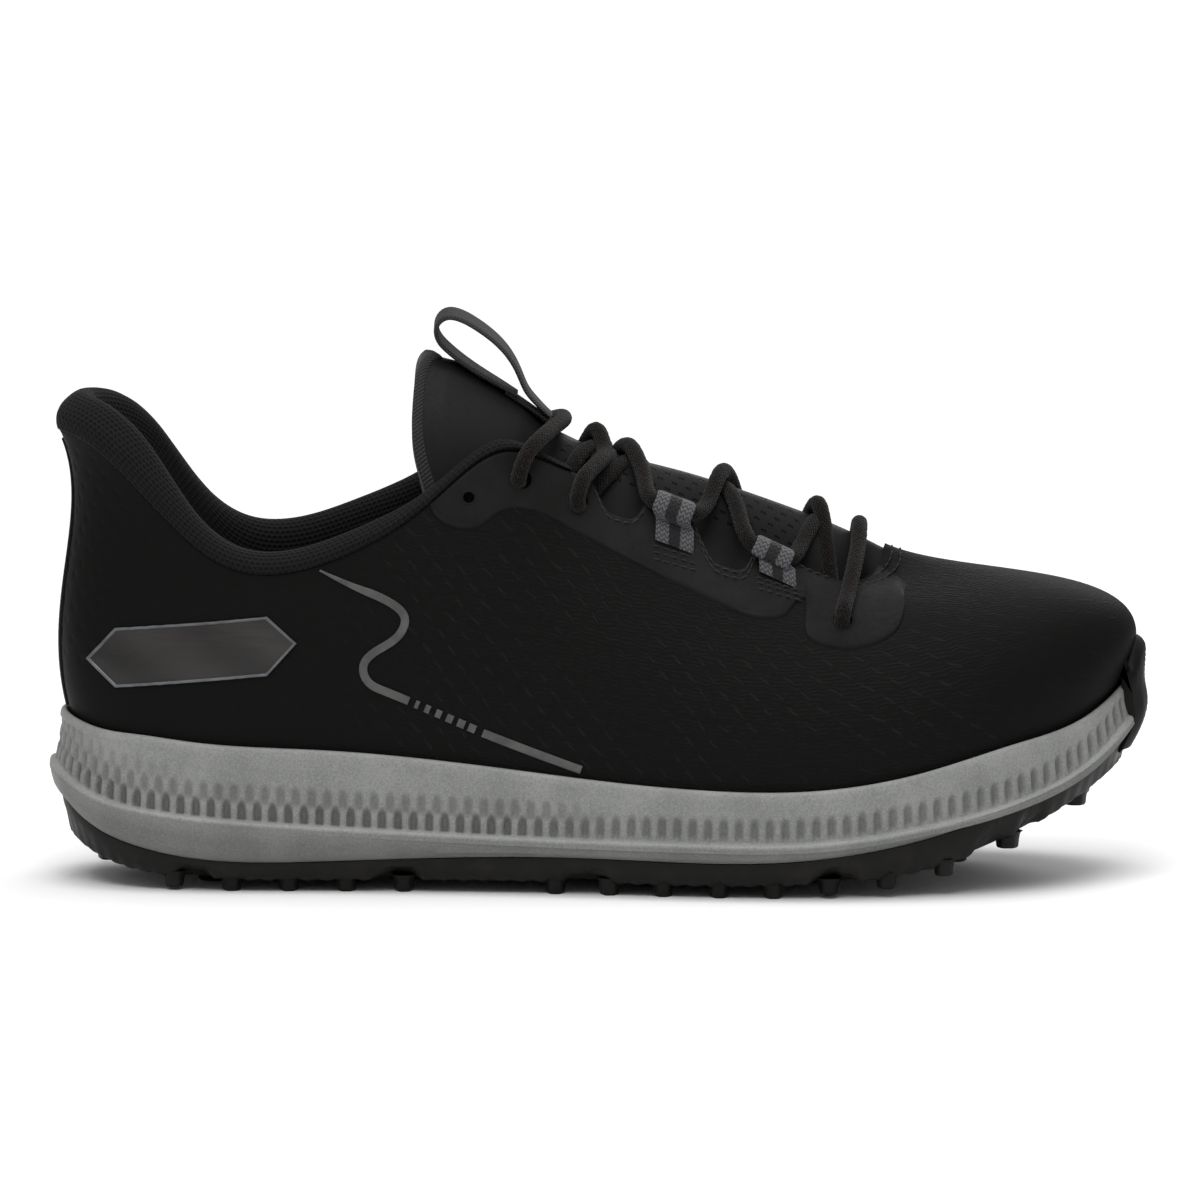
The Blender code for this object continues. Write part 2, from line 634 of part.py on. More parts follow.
# One half of the lace, as (x, y, z, lift), from the bar over the throat's front end through the outer front
# eyelet, across to the inner front loop, and so on up to the top eyelets. A lift of 1 is a crossing where
# this half lies over the other, and -1 where the other lies over it.
LACE_HALF = (
    (70.0, -8.0, 91.9, 0), (68.3, -17.5, 85.2, 0), (66.4, -25.5, 78.8, 0), (65.3, -29.8, 75.2, 0),
    (65.0, -28.8, 72.0, 0), (64.7, -25.0, 69.8, 0), (64.0, -19.0, 72.6, 0), (63.2, -13.3, 77.4, 0),
    (62.2, -8.6, 85.6, 0), (60.8, -3.8, 93.4, 0.6), (59.3, 0.5, 97.2, 1), (57.2, 6.5, 96.2, 0.5),
    (54.2, 13.0, 92.4, 0), (50.8, 18.3, 89.9, 0), (46.0, 19.8, 92.8, 0), (40.8, 18.4, 96.0, 0),
    (37.6, 11.5, 101.0, 0), (35.4, 5.5, 105.2, 0.6), (33.6, 0.5, 106.2, 1), (31.6, -5.5, 106.0, 0.6),
    (28.6, -12.5, 103.4, 0), (24.6, -18.2, 103.2, 0), (19.4, -20.0, 105.4, 0), (14.2, -18.4, 107.2, 0),
    (12.0, -12.0, 109.8, 0), (10.0, -5.5, 112.4, 0.6), (7.6, 0.5, 113.2, 1), (4.6, 6.5, 112.4, 0.6),
    (0.8, 12.0, 109.6, 0), (-2.8, 15.4, 105.4, 0), (-4.8, 17.4, 102.6, 0), (-5.6, 20.8, 103.0, 0),
    (-6.0, 25.0, 105.8, 0), (-4.8, 23.8, 110.4, 0), (-2.4, 19.0, 113.2, 0), (0.4, 12.6, 115.2, 0),
    (1.2, 6.5, 117.0, 0), (-0.9, 0.5, 117.4, -1), (-4.4, -6.0, 116.8, 0), (-7.6, -11.4, 113.2, 0),
    (-11.8, -14.8, 108.8, 0),
)
LACE_BAR = (70.5, 0.5, 96.5)
# From the outer top eyelet over the tongue and into the inner one. Only the half that starts on the outer
# side has it; the other ends tucked in under the inner eyestay.
LACE_TOP = (
    (-17.4, -17.2, 107.8), (-21.2, -20.8, 109.2), (-21.8, -26.0, 112.2), (-20.0, -25.6, 117.4),
    (-16.6, -21.2, 121.4), (-13.2, -13.4, 123.6), (-10.6, -6.0, 124.9), (-9.8, 0.5, 125.2),
    (-10.6, 7.0, 124.9), (-13.2, 14.4, 123.6), (-16.6, 22.2, 121.4), (-20.0, 26.6, 117.4),
    (-21.8, 27.0, 112.2), (-21.2, 21.8, 109.2), (-17.8, 18.6, 107.0),
)


def lace_route():
    """The lace's own points in order, from its end in the inner side to its end in the inner top eyelet."""
    own = [(x, y, z + OVER * max(lift, 0)) for x, y, z, lift in LACE_HALF]
    other = [(x, 2 * RIDGE_Y - y, z + OVER * max(-lift, 0)) for x, y, z, lift in LACE_HALF]
    return other[::-1] + [LACE_BAR] + own + list(LACE_TOP)


def tube(path, radius, sides):
    """Round sections along a path, each turned as little as it can be from the last."""
    path = np.array(path, float)
    ahead = np.gradient(path, axis=0)
    ahead /= np.linalg.norm(ahead, axis=1, keepdims=True)
    side = np.cross(ahead[0], (0, 0, 1.0))
    sections = []
    for place, way in zip(path, ahead):
        side = side - way * (side @ way)
        side /= np.linalg.norm(side)
        turns = np.arange(sides) * 2 * math.pi / sides
        up = np.cross(way, side)
        sections.append(place + radius * (np.outer(np.cos(turns), side) + np.outer(np.sin(turns), up)))
    return sections


def make_lace(look):
    """The lace as a bevelled curve, and a fatter tube that clears its way through its neighbours."""
    path = resample(lace_route(), 7.0)
    curve = bpy.data.curves.new("lace", "CURVE")
    curve.dimensions = "3D"
    curve.bevel_depth = LACE_WIDTH / 2 * 0.001
    curve.bevel_resolution = 2
    curve.use_fill_caps = True
    spine = curve.splines.new("POLY")
    spine.points.add(len(path) - 1)
    for point, place in zip(spine.points, to_metres(path)):
        point.co = (*place, 1)
    curve.materials.append(look)
    bpy.context.collection.objects.link(bpy.data.objects.new("lace", curve))
    sections = tube(path, LACE_WIDTH / 2 + LACE_CLEARANCE, 10)
    clearance = tube_of_sections("lace_clearance", sections, look)
    return as_cutter(clearance)


def as_cutter(piece):
    piece.hide_render = True
    piece.display_type = "WIRE"
    return piece


def cut(piece, cutter):
    difference = piece.modifiers.new(cutter.name, "BOOLEAN")
    difference.operation = "DIFFERENCE"
    difference.solver = "EXACT"
    difference.use_self = True
    difference.object = cutter


LOOP_WIDTH, LOOP_THICKNESS = 11.0, 1.1
LOOP_RADIUS = LACE_WIDTH / 2 + 3 * GAP + LOOP_THICKNESS / 2
LOOP_BENDS = ((0.98, -0.2), (0.86, 0.5), (0.3, 0.95), (-0.45, 0.89), (-0.93, 0.36))
# The four webbing loops: where on the edge of the throat, and the middle of the lace in them.
LOOPS = {"front": (45.7, (46.0, 19.8, 92.8)), "rear": (19.4, (19.4, -20.0, 105.4))}


def make_lace_loops(look):
    for place, (x, lace) in LOOPS.items():
        for inner in (False, True):
            side = 1 if inner else -1
            middle = np.array([lace[0], RIDGE_Y + side * abs(lace[1] - RIDGE_Y), lace[2]])
            t = float(top_t(x, inner))
            path = [upper(t, s, 2.4) for s in (0.84, 0.875, 0.91)]
            across = upper(top_t(x + 4, inner), 0.96) - upper(top_t(x - 4, inner), 0.96)
            across /= np.linalg.norm(across)
            out = np.array([0, side, 0]) - across * across[1] * side
            out /= np.linalg.norm(out)
            up = np.cross(across, out) * side
            up *= np.sign(up[2])
            path += [middle + LOOP_RADIUS * (out * a + up * b) for a, b in LOOP_BENDS]
            sections = ribbon(resample(path, 2.6), across, LOOP_WIDTH, LOOP_THICKNESS)
            name = f"lace_loop_{place}_{'inner' if inner else 'outer'}"
            yield tube_of_sections(name, sections, look)


# The lower edge of the eyestay overlay seen from the side, as (x, z).
EYESTAY_EDGE = (
    (-46, 105.0), (-41, 99.8), (-35, 98.2), (-29.6, 100.6), (-23, 103.2), (-15.7, 102.0), (5, 91),
    (31, 78.6), (47, 72), (58, 68), (67, 66.2), (73.5, 67.3), (78.4, 70.5), (81, 76), (83, 86), (84.5, 98),
)
OVERLAY = (0.5, 1.1)  # an overlay's two faces, outwards from the upper
EYELET_RADIUS = 1.7
SPARE_EYELET = (-35.3, 106.6)


def make_eyestay(look):
    """The smooth overlay round the throat, from one side's collar over the front end to the other."""
    edge_z = along(EYESTAY_EDGE)
    first, last = float(top_t(EYESTAY_EDGE[0][0], False)), float(top_t(EYESTAY_EDGE[0][0], True))
    ts = np.concatenate([[first], TS[(TS > first + 0.002) & (TS < last - 0.002)], [last]])
    ss = np.linspace(0.4, 0.99, 100)
    sections = []
    for t in ts:
        column = surface(t, ss)
        below = np.nonzero(column[:, 2] < edge_z(column[:, 0]))[0]
        start = min(float(ss[below[-1]]) if len(below) else 0.97, 0.97)
        levels = np.linspace(start, 0.992, 4)
        sections.append(np.concatenate([upper(t, levels, OVERLAY[1]), upper(t, levels, OVERLAY[0])[::-1]]))
    return tube_of_sections("eyestay", sections, look)


def eyelet_cutters(look):
    """Short pins through the spare eyelet of each side, which no lace uses."""
    for inner in (False, True):
        t, s = locate(*SPARE_EYELET, inner)
        ends = [upper(t, s, 3.0), upper(t, s, -UPPER_THICKNESS - 0.15)]
        name = f"spare_eyelet_{'inner' if inner else 'outer'}"
        yield as_cutter(tube_of_sections(name, tube(ends, EYELET_RADIUS, 12), look))


BADGE_CENTRE, BADGE_LENGTH, BADGE_HEIGHT = (-110, 65.0), 57.0, 16.0
BADGE_SLANT = 0.1  # the badge rises this much towards the toe for each unit of length
BADGE = (0.5, 1.5)


def make_badges(look):
    """A plain long six-sided badge on each side of the heel."""
    for inner in (False, True):
        grid = []
        for a in np.linspace(-1, 1, 13):
            half = BADGE_HEIGHT / 2 * min(1.0, 0.12 + (1 - abs(a)) / 0.3)
            x = BADGE_CENTRE[0] + a * BADGE_LENGTH / 2
            z = BADGE_CENTRE[1] + a * BADGE_LENGTH / 2 * BADGE_SLANT
            grid.append([locate(x, z + half * b, inner) for b in (-1, 0, 1)])
        grid = np.array(grid)
        t, s = grid[..., 0], grid[..., 1]
        sections = layer(upper(t, s, BADGE[1]), upper(t, s, BADGE[0]))
        tube_of_sections(f"heel_badge_{'inner' if inner else 'outer'}", sections, look)


HEEL_STRIP_HALF = 0.0068  # of t, either way from the back of the heel


def make_heel_strip(look):
    ts = np.linspace(-HEEL_STRIP_HALF, HEEL_STRIP_HALF, 5)[:, None]
    levels = np.linspace(0.13, 0.965, 12)[None, :]
    sections = layer(upper(ts, levels, 1.3), upper(ts, levels, 0.5))
    return tube_of_sections("heel_strip", sections, look)


STRIPE_WIDTH, STRIPE_THICKNESS, STRIPE_HEIGHT = 2.4, 0.4, 0.75
# The two runs of the thin stripe on each side, seen from the side, as (x, z).
STRIPES = {
    "rear": (
        (-75.3, 87.4), (-64.4, 82.4), (-56.0, 78.6), (-52.4, 74.6), (-53.8, 70.4), (-59.5, 66.2),
        (-63.6, 61.8), (-62.6, 57.8), (-58.0, 55.0), (-51.4, 52.3),
    ),
    "front": ((-31.5, 43.8), (-22.0, 40.2), (-12.0, 36.6), (-5.0, 34.2)),
}


def make_stripes(look):
    for run, points in STRIPES.items():
        path = np.column_stack([np.array(points), np.zeros(len(points))])
        path = resample(path, 3.6)
        for inner in (False, True):
            places = [locate(x, z, inner) for x, z, _ in path]
            spine = np.array([upper(t, s, STRIPE_HEIGHT) for t, s in places])
            out = np.array([surface_normal(t, s) for t, s in places])
            across = np.cross(np.gradient(spine, axis=0), out)
            name = f"stripe_{run}_{'inner' if inner else 'outer'}"
            tube_of_sections(name, ribbon(spine, across, STRIPE_WIDTH, STRIPE_THICKNESS), look)


def empty_at(name, place, parent=None):
    made = bpy.data.objects.new(name, None)
    bpy.context.collection.objects.link(made)
    made.location = to_metres(place)
    made.empty_display_size = 0.01
    bpy.context.view_layer.update()
    if parent:
        made.parent = parent
        made.matrix_parent_inverse = parent.matrix_world.inverted()
        bpy.context.view_layer.update()
    return made


def clear_scene():
    for found in list(bpy.data.objects):
        bpy.data.objects.remove(found, do_unlink=True)


def main():
    clear_scene()
    rubber = material("outsole_rubber", (0.012, 0.011, 0.01), 0.5)
    foam = material("midsole_foam", (0.16, 0.165, 0.155), 0.55)
    synthetic = material("upper_synthetic", (0.012, 0.012, 0.012), 0.5)
    stiff = material("stiffener_sheet", (0.2, 0.19, 0.17), 0.8)
    textile = material("lining_textile", (0.01, 0.01, 0.01), 0.9)
    mesh = material("collar_mesh", (0.011, 0.011, 0.011), 0.85)
    knit = material("tongue_knit", (0.03, 0.03, 0.03), 0.85)
    webbing = material("webbing", (0.014, 0.014, 0.015), 0.75)
    board = material("board", (0.35, 0.34, 0.31), 0.9)
    cord = material("lace_cord", (0.02, 0.017, 0.015), 0.8)
    film = material("overlay_film", (0.014, 0.014, 0.014), 0.4)
    gunmetal = material("badge_gunmetal", (0.12, 0.12, 0.12), 0.35, 0.6)
    print_grey = material("stripe_grey", (0.09, 0.09, 0.09), 0.5)
    flap_hinge = empty_at("tongue_hinge", HINGE)
    pull_hinge = empty_at("pull_hinge", PULL_PIVOT, flap_hinge)
    make_midsole(foam)
    make_outsole(rubber)
    make_toe_bumper(rubber)
    make_boards(board, textile)
    outer = make_upper(synthetic, stiff, textile)
    make_collar(mesh)
    tongue = make_tongue(synthetic, synthetic, knit, flap_hinge)
    make_pull(webbing, flap_hinge, pull_hinge)
    clearance = make_lace(cord)
    loops = list(make_lace_loops(webbing))
    eyestay = make_eyestay(film)
    for pressed in (outer, eyestay, tongue, *loops):
        cut(pressed, clearance)
    for pin in eyelet_cutters(film):
        cut(outer, pin)
        cut(eyestay, pin)
    make_badges(gunmetal)
    make_heel_strip(mesh)
    make_stripes(print_grey)


main()
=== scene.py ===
"""The looks of the golf shoe: every soft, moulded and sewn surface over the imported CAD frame.

Lengths below are millimetres, and piece() turns them into Blender's metres. +X points to the toe, -Y is the
outer side, +Z is up. The first part repeats the shapes that the CAD pieces are drawn from. plan(t) is the
sole's outline, from 0 at the back of the heel round the outer side to 0.5 at the toe and back to 1, and
upper(t, s, d) is the upper's outer surface, with s from 0 at the sole to 1 at its top edge and d outwards.
"""

import math

import bmesh
import bpy
import numpy as np
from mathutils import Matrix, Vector


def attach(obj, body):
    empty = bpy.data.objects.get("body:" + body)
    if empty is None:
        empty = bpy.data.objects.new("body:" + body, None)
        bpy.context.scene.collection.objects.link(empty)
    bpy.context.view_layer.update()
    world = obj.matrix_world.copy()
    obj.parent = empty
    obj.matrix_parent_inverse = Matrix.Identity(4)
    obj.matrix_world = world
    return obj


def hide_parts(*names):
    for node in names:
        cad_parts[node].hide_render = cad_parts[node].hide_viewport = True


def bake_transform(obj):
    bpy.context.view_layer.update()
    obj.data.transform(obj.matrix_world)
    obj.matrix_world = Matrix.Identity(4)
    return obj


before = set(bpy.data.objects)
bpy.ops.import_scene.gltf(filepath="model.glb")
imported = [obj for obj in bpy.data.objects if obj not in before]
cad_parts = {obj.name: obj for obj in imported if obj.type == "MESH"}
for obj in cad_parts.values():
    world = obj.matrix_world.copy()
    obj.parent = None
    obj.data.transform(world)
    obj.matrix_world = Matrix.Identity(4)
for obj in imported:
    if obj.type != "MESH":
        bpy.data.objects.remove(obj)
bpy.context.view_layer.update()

GAP = 0.3  # between pieces that touch on the real shoe
RIM_INSET = 5.2  # from the sole's outline to the inside of the midsole's rim
CUP_DEPTH = 7.6  # how deep the upper sits in the midsole
UPPER_INSET = RIM_INSET + GAP
UPPER_THICKNESS = 1.8
LINING = (3.5, 5.5)
SOLE_CORNER, SOLE_EDGE = 3.4, 7.0
WALL_SHARE = 0.1  # the share of s that is the straight wall inside the midsole's rim
TOE_T = 0.5

# The sole's outline from above, from the back of the heel along the outer side to the toe and back.
OUTLINE = (
    (-150, 0), (-146.5, -16), (-135, -28.5), (-113, -35.5), (-80, -37), (-45, -38.5), (-10, -42.5),
    (25, -48.5), (58, -51), (88, -47.5), (113, -38.5), (133, -24), (144.5, -8), (148, 7), (144.5, 22),
    (133, 36), (112, 46.3), (85, 50.75), (55, 49.4), (20, 41), (-15, 34), (-50, 31.5), (-85, 33.5),
    (-115, 33.5), (-135, 28), (-146.5, 16),
)

# Heights along the sole, as (x, z): its top rim, the ledge between its two bands, the bottom of the midsole
# and the bottom of the rubber between the lugs.
RIM_LINE = (
    (-150, 46.5), (-138, 43.6), (-125, 42.5), (-110, 40.8), (-75, 38.8), (-28, 34.5), (0, 31.4), (28, 29.5),
    (57, 29.6), (87, 34.0), (115, 41.0), (135, 46.4), (148, 54),
)
LEDGE_LINE = (
    (-150, 33), (-143, 28.5), (-124, 22.8), (-100, 20.2), (-60, 17.8), (-17, 16.1), (25, 15.5), (59, 16.1),
    (89, 20.3), (120, 28), (138, 37.8), (148, 47.5),
)
SOLE_LINE = (
    (-150, 25), (-142, 18.4), (-130, 13.2), (-110, 9.2), (-80, 8.4), (-43, 9.8), (0, 10.3), (44, 10.0),
    (74, 13.2), (104, 20.6), (126, 29), (139, 35.8), (148, 42.5),
)
TREAD_LINE = (
    (-150, 17), (-140, 10.5), (-126, 5.6), (-100, 3.2), (-60, 3.2), (0, 3.4), (40, 3.4), (62, 4.3),
    (84, 6.8), (104, 12.4), (126, 22.4), (148, 35),
)

# The rows of one side, from the back of the heel to the toe, as (x, top, rise, spread, reach).
ROWS = (
    (-150, (-146.4, 0, 122.6), 30, 7.5, (10.5, 0, -22)),
    (-143, (-144.5, -10, 122.0), 29, 6, (8.5, 3.5, -21)),
    (-133, (-137.5, -18.5, 119.5), 26, 4.5, (3.5, 5, -20)),
    (-119, (-124, -26.5, 108.0), 21, 3.5, (1, 3, -18)),
    (-106, (-108, -30, 92.5), 16, 3, (0, 0, -15)),
    (-88, (-88, -31.5, 86.0), 14, 3, (0, -2, -14)),
    (-68, (-68, -31.2, 91.3), 16, 3, (0, -2.5, -15)),
    (-46, (-46, -28.5, 104.8), 20, 3, (0, -4.5, -18)),
    (-28, (-27, -23, 118.6), 24, 3, (0, -8, -23)),
    (-13, (-12, -18.5, 114.5), 25, 3, (0, -10, -22)),
    (4, (4, -17, 109.0), 25, 3, (0, -11.5, -20)),
    (28, (25, -16, 101.0), 24, 3, (1, -13, -17)),
    (55, (45, -15, 92.0), 21, 3, (3, -15, -13)),
    (80, (59, -14.2, 84.5), 19, 3.5, (8, -16, -8)),
    (102, (67.5, -12.5, 82.0), 22, 4.5, (18, -15, -4)),
    (124, (73, -9, 84.0), 28, 8, (28, -11, -6)),
    (141, (76.5, -4, 88.0), 32, 14, (28, -4, -9)),
    (148, (77.5, 0.5, 91.0), 33, 20, (22, 1.5, -10.5)),
)
# How much higher the inner side's top edge is, as (x, rise).
INNER_SIDE_RAISE = (
    (-150, 0), (-125, 1.5), (-88, 2.5), (-46, 1.5), (-20, 0), (0, 0), (40, 0), (90, 0), (148, 0),
)

# The tongue's ridge, as (x, z), with the foam below it.
RIDGE_LINE = (
    (-47, 143.6), (-40, 140.4), (-30, 134.6), (-20, 128.0), (-10, 121.2), (0, 116.8), (12, 113.4),
    (25, 110.0), (38, 105.8), (51, 101.2), (62, 96.9), (72, 92.4), (88, 84.5),
)
RIDGE_Y = 0.5


def unit(vectors):
    vectors = np.asarray(vectors, float)
    return vectors / np.linalg.norm(vectors, axis=-1, keepdims=True)


def spline(keys, values, period=None):
    """A smooth cubic through the values at the keys, as a function. With a period it closes on itself."""
    keys = np.asarray(keys, float)
    values = np.asarray(values, float).reshape(len(keys), -1)
    if period:
        around = min(6, len(keys))
        keys = np.concatenate([keys[-around:] - period, keys, keys[:around] + period])
        values = np.concatenate([values[-around:], values, values[:around]])
    count = len(keys)
    gaps = np.diff(keys)
    slopes = np.diff(values, axis=0) / gaps[:, None]
    matrix, right = np.zeros((count, count)), np.zeros_like(values)
    for i in range(1, count - 1):
        matrix[i, i - 1 : i + 2] = gaps[i], 2 * (gaps[i - 1] + gaps[i]), gaps[i - 1]
        right[i] = 3 * (gaps[i] * slopes[i - 1] + gaps[i - 1] * slopes[i])
    matrix[0, :2], right[0] = (2, 1), 3 * slopes[0]
    matrix[-1, -2:], right[-1] = (1, 2), 3 * slopes[-1]
    tangents = np.linalg.solve(matrix, right)

    def at(x):
        x = np.mod(np.asarray(x, float), period) if period else np.asarray(x, float)
        i = np.clip(np.searchsorted(keys, x, side="right") - 1, 0, count - 2)
        u = np.clip((x - keys[i]) / gaps[i], 0, 1)[..., None]
        gap = gaps[i][..., None]
        found = (
            (1 + 2 * u) * (1 - u) ** 2 * values[i]
            + u * (1 - u) ** 2 * gap * tangents[i]
            + u * u * (3 - 2 * u) * values[i + 1]
            + u * u * (u - 1) * gap * tangents[i + 1]
        )
        return found[..., 0] if found.shape[-1] == 1 else found

    return at


def along(points):
    """A smooth function through points given as (x, value)."""
    return spline([p[0] for p in points], [p[1] for p in points])


def travel(points):
    """How far along a path each of its points lies."""
    return np.concatenate([[0], np.cumsum(np.linalg.norm(np.diff(points, axis=0), axis=1))])


def outline_curve(points):
    """A closed curve through the points, with t running evenly along it from 0 to 1."""
    points = np.array(points, float)
    chords = np.linalg.norm(np.roll(points, -1, axis=0) - points, axis=1)
    for _ in range(2):
        ends = np.concatenate([[0], np.cumsum(chords)])
        curve = spline(ends[:-1], points, period=ends[-1])
        steps = [np.mod(np.linspace(a, b, 24), ends[-1]) for a, b in zip(ends[:-1], ends[1:])]
        chords = np.array([travel(curve(step))[-1] for step in steps])
    ends = np.concatenate([[0], np.cumsum(chords)])
    return spline(ends[:-1] / ends[-1], points, period=1.0)


plan = outline_curve(OUTLINE)
rim_z, ledge_z = along(RIM_LINE), along(LEDGE_LINE)
sole_z, tread_z = along(SOLE_LINE), along(TREAD_LINE)
ridge_z = along(RIDGE_LINE)


def plan_normal(t):
    """The outward direction of the outline in the ground plane."""
    step = 1e-4
    dx, dy = np.moveaxis(plan(np.asarray(t) + step) - plan(np.asarray(t) - step), -1, 0)
    return np.stack([dy, -dx], axis=-1) / np.hypot(dx, dy)[..., None]


def inset(t, distance):
    return plan(t) - plan_normal(t) * np.asarray(distance, float)[..., None]


def t_on_side(x, inner):
    """Where the outline passes x on the outer or the inner side."""
    ts = np.linspace(1, TOE_T, 400) if inner else np.linspace(0, TOE_T, 400)
    return np.interp(x, plan(ts)[:, 0], ts)


def upper_rows():
    """The four Bezier points of every row round the shoe, as functions of t."""
    raise_z = along(INNER_SIDE_RAISE)
    keys, found = [], []
    for inner in (False, True):
        for x, top, rise, spread, reach in (ROWS[1:-1][::-1] if inner else ROWS):
            side = -1 if inner else 1
            t = {ROWS[0][0]: 0.0, ROWS[-1][0]: TOE_T}.get(x)
            t = float(t_on_side(x, inner)) if t is None else t
            foot = np.append(inset(t, UPPER_INSET), rim_z(plan(t)[0]) + 0.4)
            head = np.array(top) * (1, side, 1) + (0, 2 * RIDGE_Y * inner, raise_z(x) * inner)
            low = foot + np.append(plan_normal(t) * spread, rise)
            keys.append(t)
            found.append(np.concatenate([low, head + np.array(reach) * (1, side, 1), head]))
    order = np.argsort(keys)
    return spline(np.array(keys)[order], np.array(found)[order], period=1.0)


row_points = upper_rows()


def surface(t, s):
    """A point of the upper's outer surface."""
    t, s = np.broadcast_arrays(np.asarray(t, float), np.asarray(s, float))
    edge = inset(t, UPPER_INSET)
    rim = rim_z(plan(t)[..., 0])
    foot = np.concatenate([edge, (rim + 0.4)[..., None]], axis=-1)
    low, high, top = np.split(row_points(t), 3, axis=-1)
    u = np.clip((s - WALL_SHARE) / (1 - WALL_SHARE), 0, 1)[..., None]
    bend = (1 - u) ** 3 * foot + 3 * u * (1 - u) ** 2 * low + 3 * u * u * (1 - u) * high + u**3 * top
    down = np.clip(1 - s / WALL_SHARE, 0, 1) * (CUP_DEPTH + 0.1)
    bend[..., 2] -= down
    return bend


def surface_normal(t, s):
    step = 2e-3
    s = np.clip(s, step, 1 - step)
    round_it = surface(np.asarray(t) + step, s) - surface(np.asarray(t) - step, s)
    up_it = surface(t, s + step) - surface(t, s - step)
    return unit(np.cross(round_it, up_it))


def upper(t, s, d=0.0):
    """A point d outside the upper's surface, or inside it where d is negative."""
    t, s = np.broadcast_arrays(np.asarray(t, float), np.asarray(s, float))
    return surface(t, s) + surface_normal(t, s) * np.asarray(d, float)[..., None]


def top_t(x, inner):
    """Where the upper's top edge passes x on one side, in front of the heel."""
    ts = np.linspace(1 - 0.06, TOE_T, 400) if inner else np.linspace(0.06, TOE_T, 400)
    return np.interp(x, surface(ts, 1.0)[:, 0], ts)


def locate(x, z, inner):
    """The (t, s) of the point of the upper's side at x and height z."""
    ts = np.linspace(1 - 0.005, TOE_T, 240) if inner else np.linspace(0.005, TOE_T, 240)
    ss = np.linspace(0, 1, 120)
    grid = surface(ts[:, None], ss[None, :])
    rows = np.array([np.interp(z, column[:, 2], ss) for column in grid])
    xs = np.array([np.interp(s, ss, column[:, 0]) for s, column in zip(rows, grid)])
    t = np.interp(x, xs, ts)
    return float(t), float(np.interp(x, xs, rows))


# ---------------------------------------------------------------- meshes


def smooth_step(x, low, high):
    u = np.clip((np.asarray(x, float) - low) / (high - low), 0, 1)
    return u * u * (3 - 2 * u)


def quads(rows, columns, ring, tube):
    """The corner indices of a grid's faces, and the same corners counted without wrapping round."""
    r = np.arange(rows if ring else rows - 1)[:, None]
    c = np.arange(columns if tube else columns - 1)[None, :]
    corners = [(r, c), (r, c + 1), (r + 1, c + 1), (r + 1, c)]
    wrapped = [((a % rows) * columns + b % columns + 0 * (r + c)).ravel() for a, b in corners]
    open_columns = columns + 1
    straight = [(a * open_columns + b + 0 * (r + c)).ravel() for a, b in corners]
    return np.stack(wrapped, axis=1), np.stack(straight, axis=1)


def lengths(grid, ring):
    """How far each point of a grid lies along its two directions, with a last one to close on."""
    full = np.concatenate([grid, grid[:1]]) if ring else grid
    full = np.concatenate([full, full[:, :1]], axis=1)
    along_rows = np.linalg.norm(np.diff(full, axis=0), axis=2).mean(axis=1)
    u = np.concatenate([[0], np.cumsum(along_rows)])
    v = np.cumsum(np.linalg.norm(np.diff(full, axis=1), axis=2), axis=1)
    v = np.concatenate([np.zeros((len(full), 1)), v], axis=1)
    return np.stack([np.broadcast_to(u[:, None], v.shape), v], axis=2)


class Form:
    """A mesh put together from grids of points, each with its lengths as texture coordinates."""

    def __init__(self):
        self.points, self.faces, self.places, self.count = [], [], [], 0
        self.painted_light = None  # painted shade at each point, as the share by which its paint is darkened, negative for painted highlight, where the form has it

    def grid(self, grid, ring=False, tube=True, caps=False):
        grid = np.asarray(grid, float)
        rows, columns = grid.shape[:2]
        corners, flat = quads(rows, columns, ring, tube)
        places = lengths(grid, ring)
        self.points.append(grid.reshape(-1, 3))
        self.faces += (corners + self.count).tolist()
        self.places.append(places.reshape(-1, 2)[flat].reshape(-1, 2))
        if caps:
            for row in (0, rows - 1):
                self.faces.append((np.arange(columns) + row * columns + self.count).tolist())
                self.places.append(np.zeros((columns, 2)))
        self.count += rows * columns
        return self

    def piece(self, name, look, body="shoe", replaces=(), slot=None, sharp=50):
        """Turns the form into one object that rides on a body."""
        mesh = bpy.data.meshes.new(name)
        mesh.from_pydata((np.concatenate(self.points) * 0.001).tolist(), [], self.faces)
        layer = mesh.uv_layers.new(name="lengths")
        layer.data.foreach_set("uv", np.concatenate(self.places).ravel().astype(np.float32))
        # painted shade and painted highlight go to the material as a point attribute, which scales the
        # paint by them
        if self.painted_light is not None:
            value = mesh.attributes.new("painted_light", "FLOAT", "POINT")
            value.data.foreach_set("value", np.asarray(self.painted_light, np.float32).ravel())
        form = bmesh.new()
        form.from_mesh(mesh)
        bmesh.ops.recalc_face_normals(form, faces=form.faces[:])
        form.to_mesh(mesh)
        form.free()
        mesh.shade_smooth()
        mesh.set_sharp_from_angle(angle=math.radians(sharp))
        mesh.materials.append(look)
        made = bpy.data.objects.new(name, mesh)
        bpy.context.collection.objects.link(made)
        if body:
            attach(made, body)
        if replaces:
            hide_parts(*replaces)
        return made


def layer(outside, inside):
    """Sections across a sheet: up its outside and back down its inside."""
    return np.concatenate([outside, inside[:, ::-1]], axis=1)


def resample(points, spacing):
    """Points about so far apart on a smooth curve through the given ones."""
    points = np.array(points, float)
    ends = travel(points)
    return spline(ends, points)(np.linspace(0, ends[-1], int(ends[-1] / spacing) + 2))


def at_lengths(values, ends, places):
    """The rows of values, known at the lengths ends, found at other lengths."""
    return np.column_stack([np.interp(places, ends, column) for column in values.T])


def evenly(path, count):
    """That many points at equal steps along a path."""
    ends = travel(path)
    return at_lengths(path, ends, np.linspace(0, ends[-1], count))


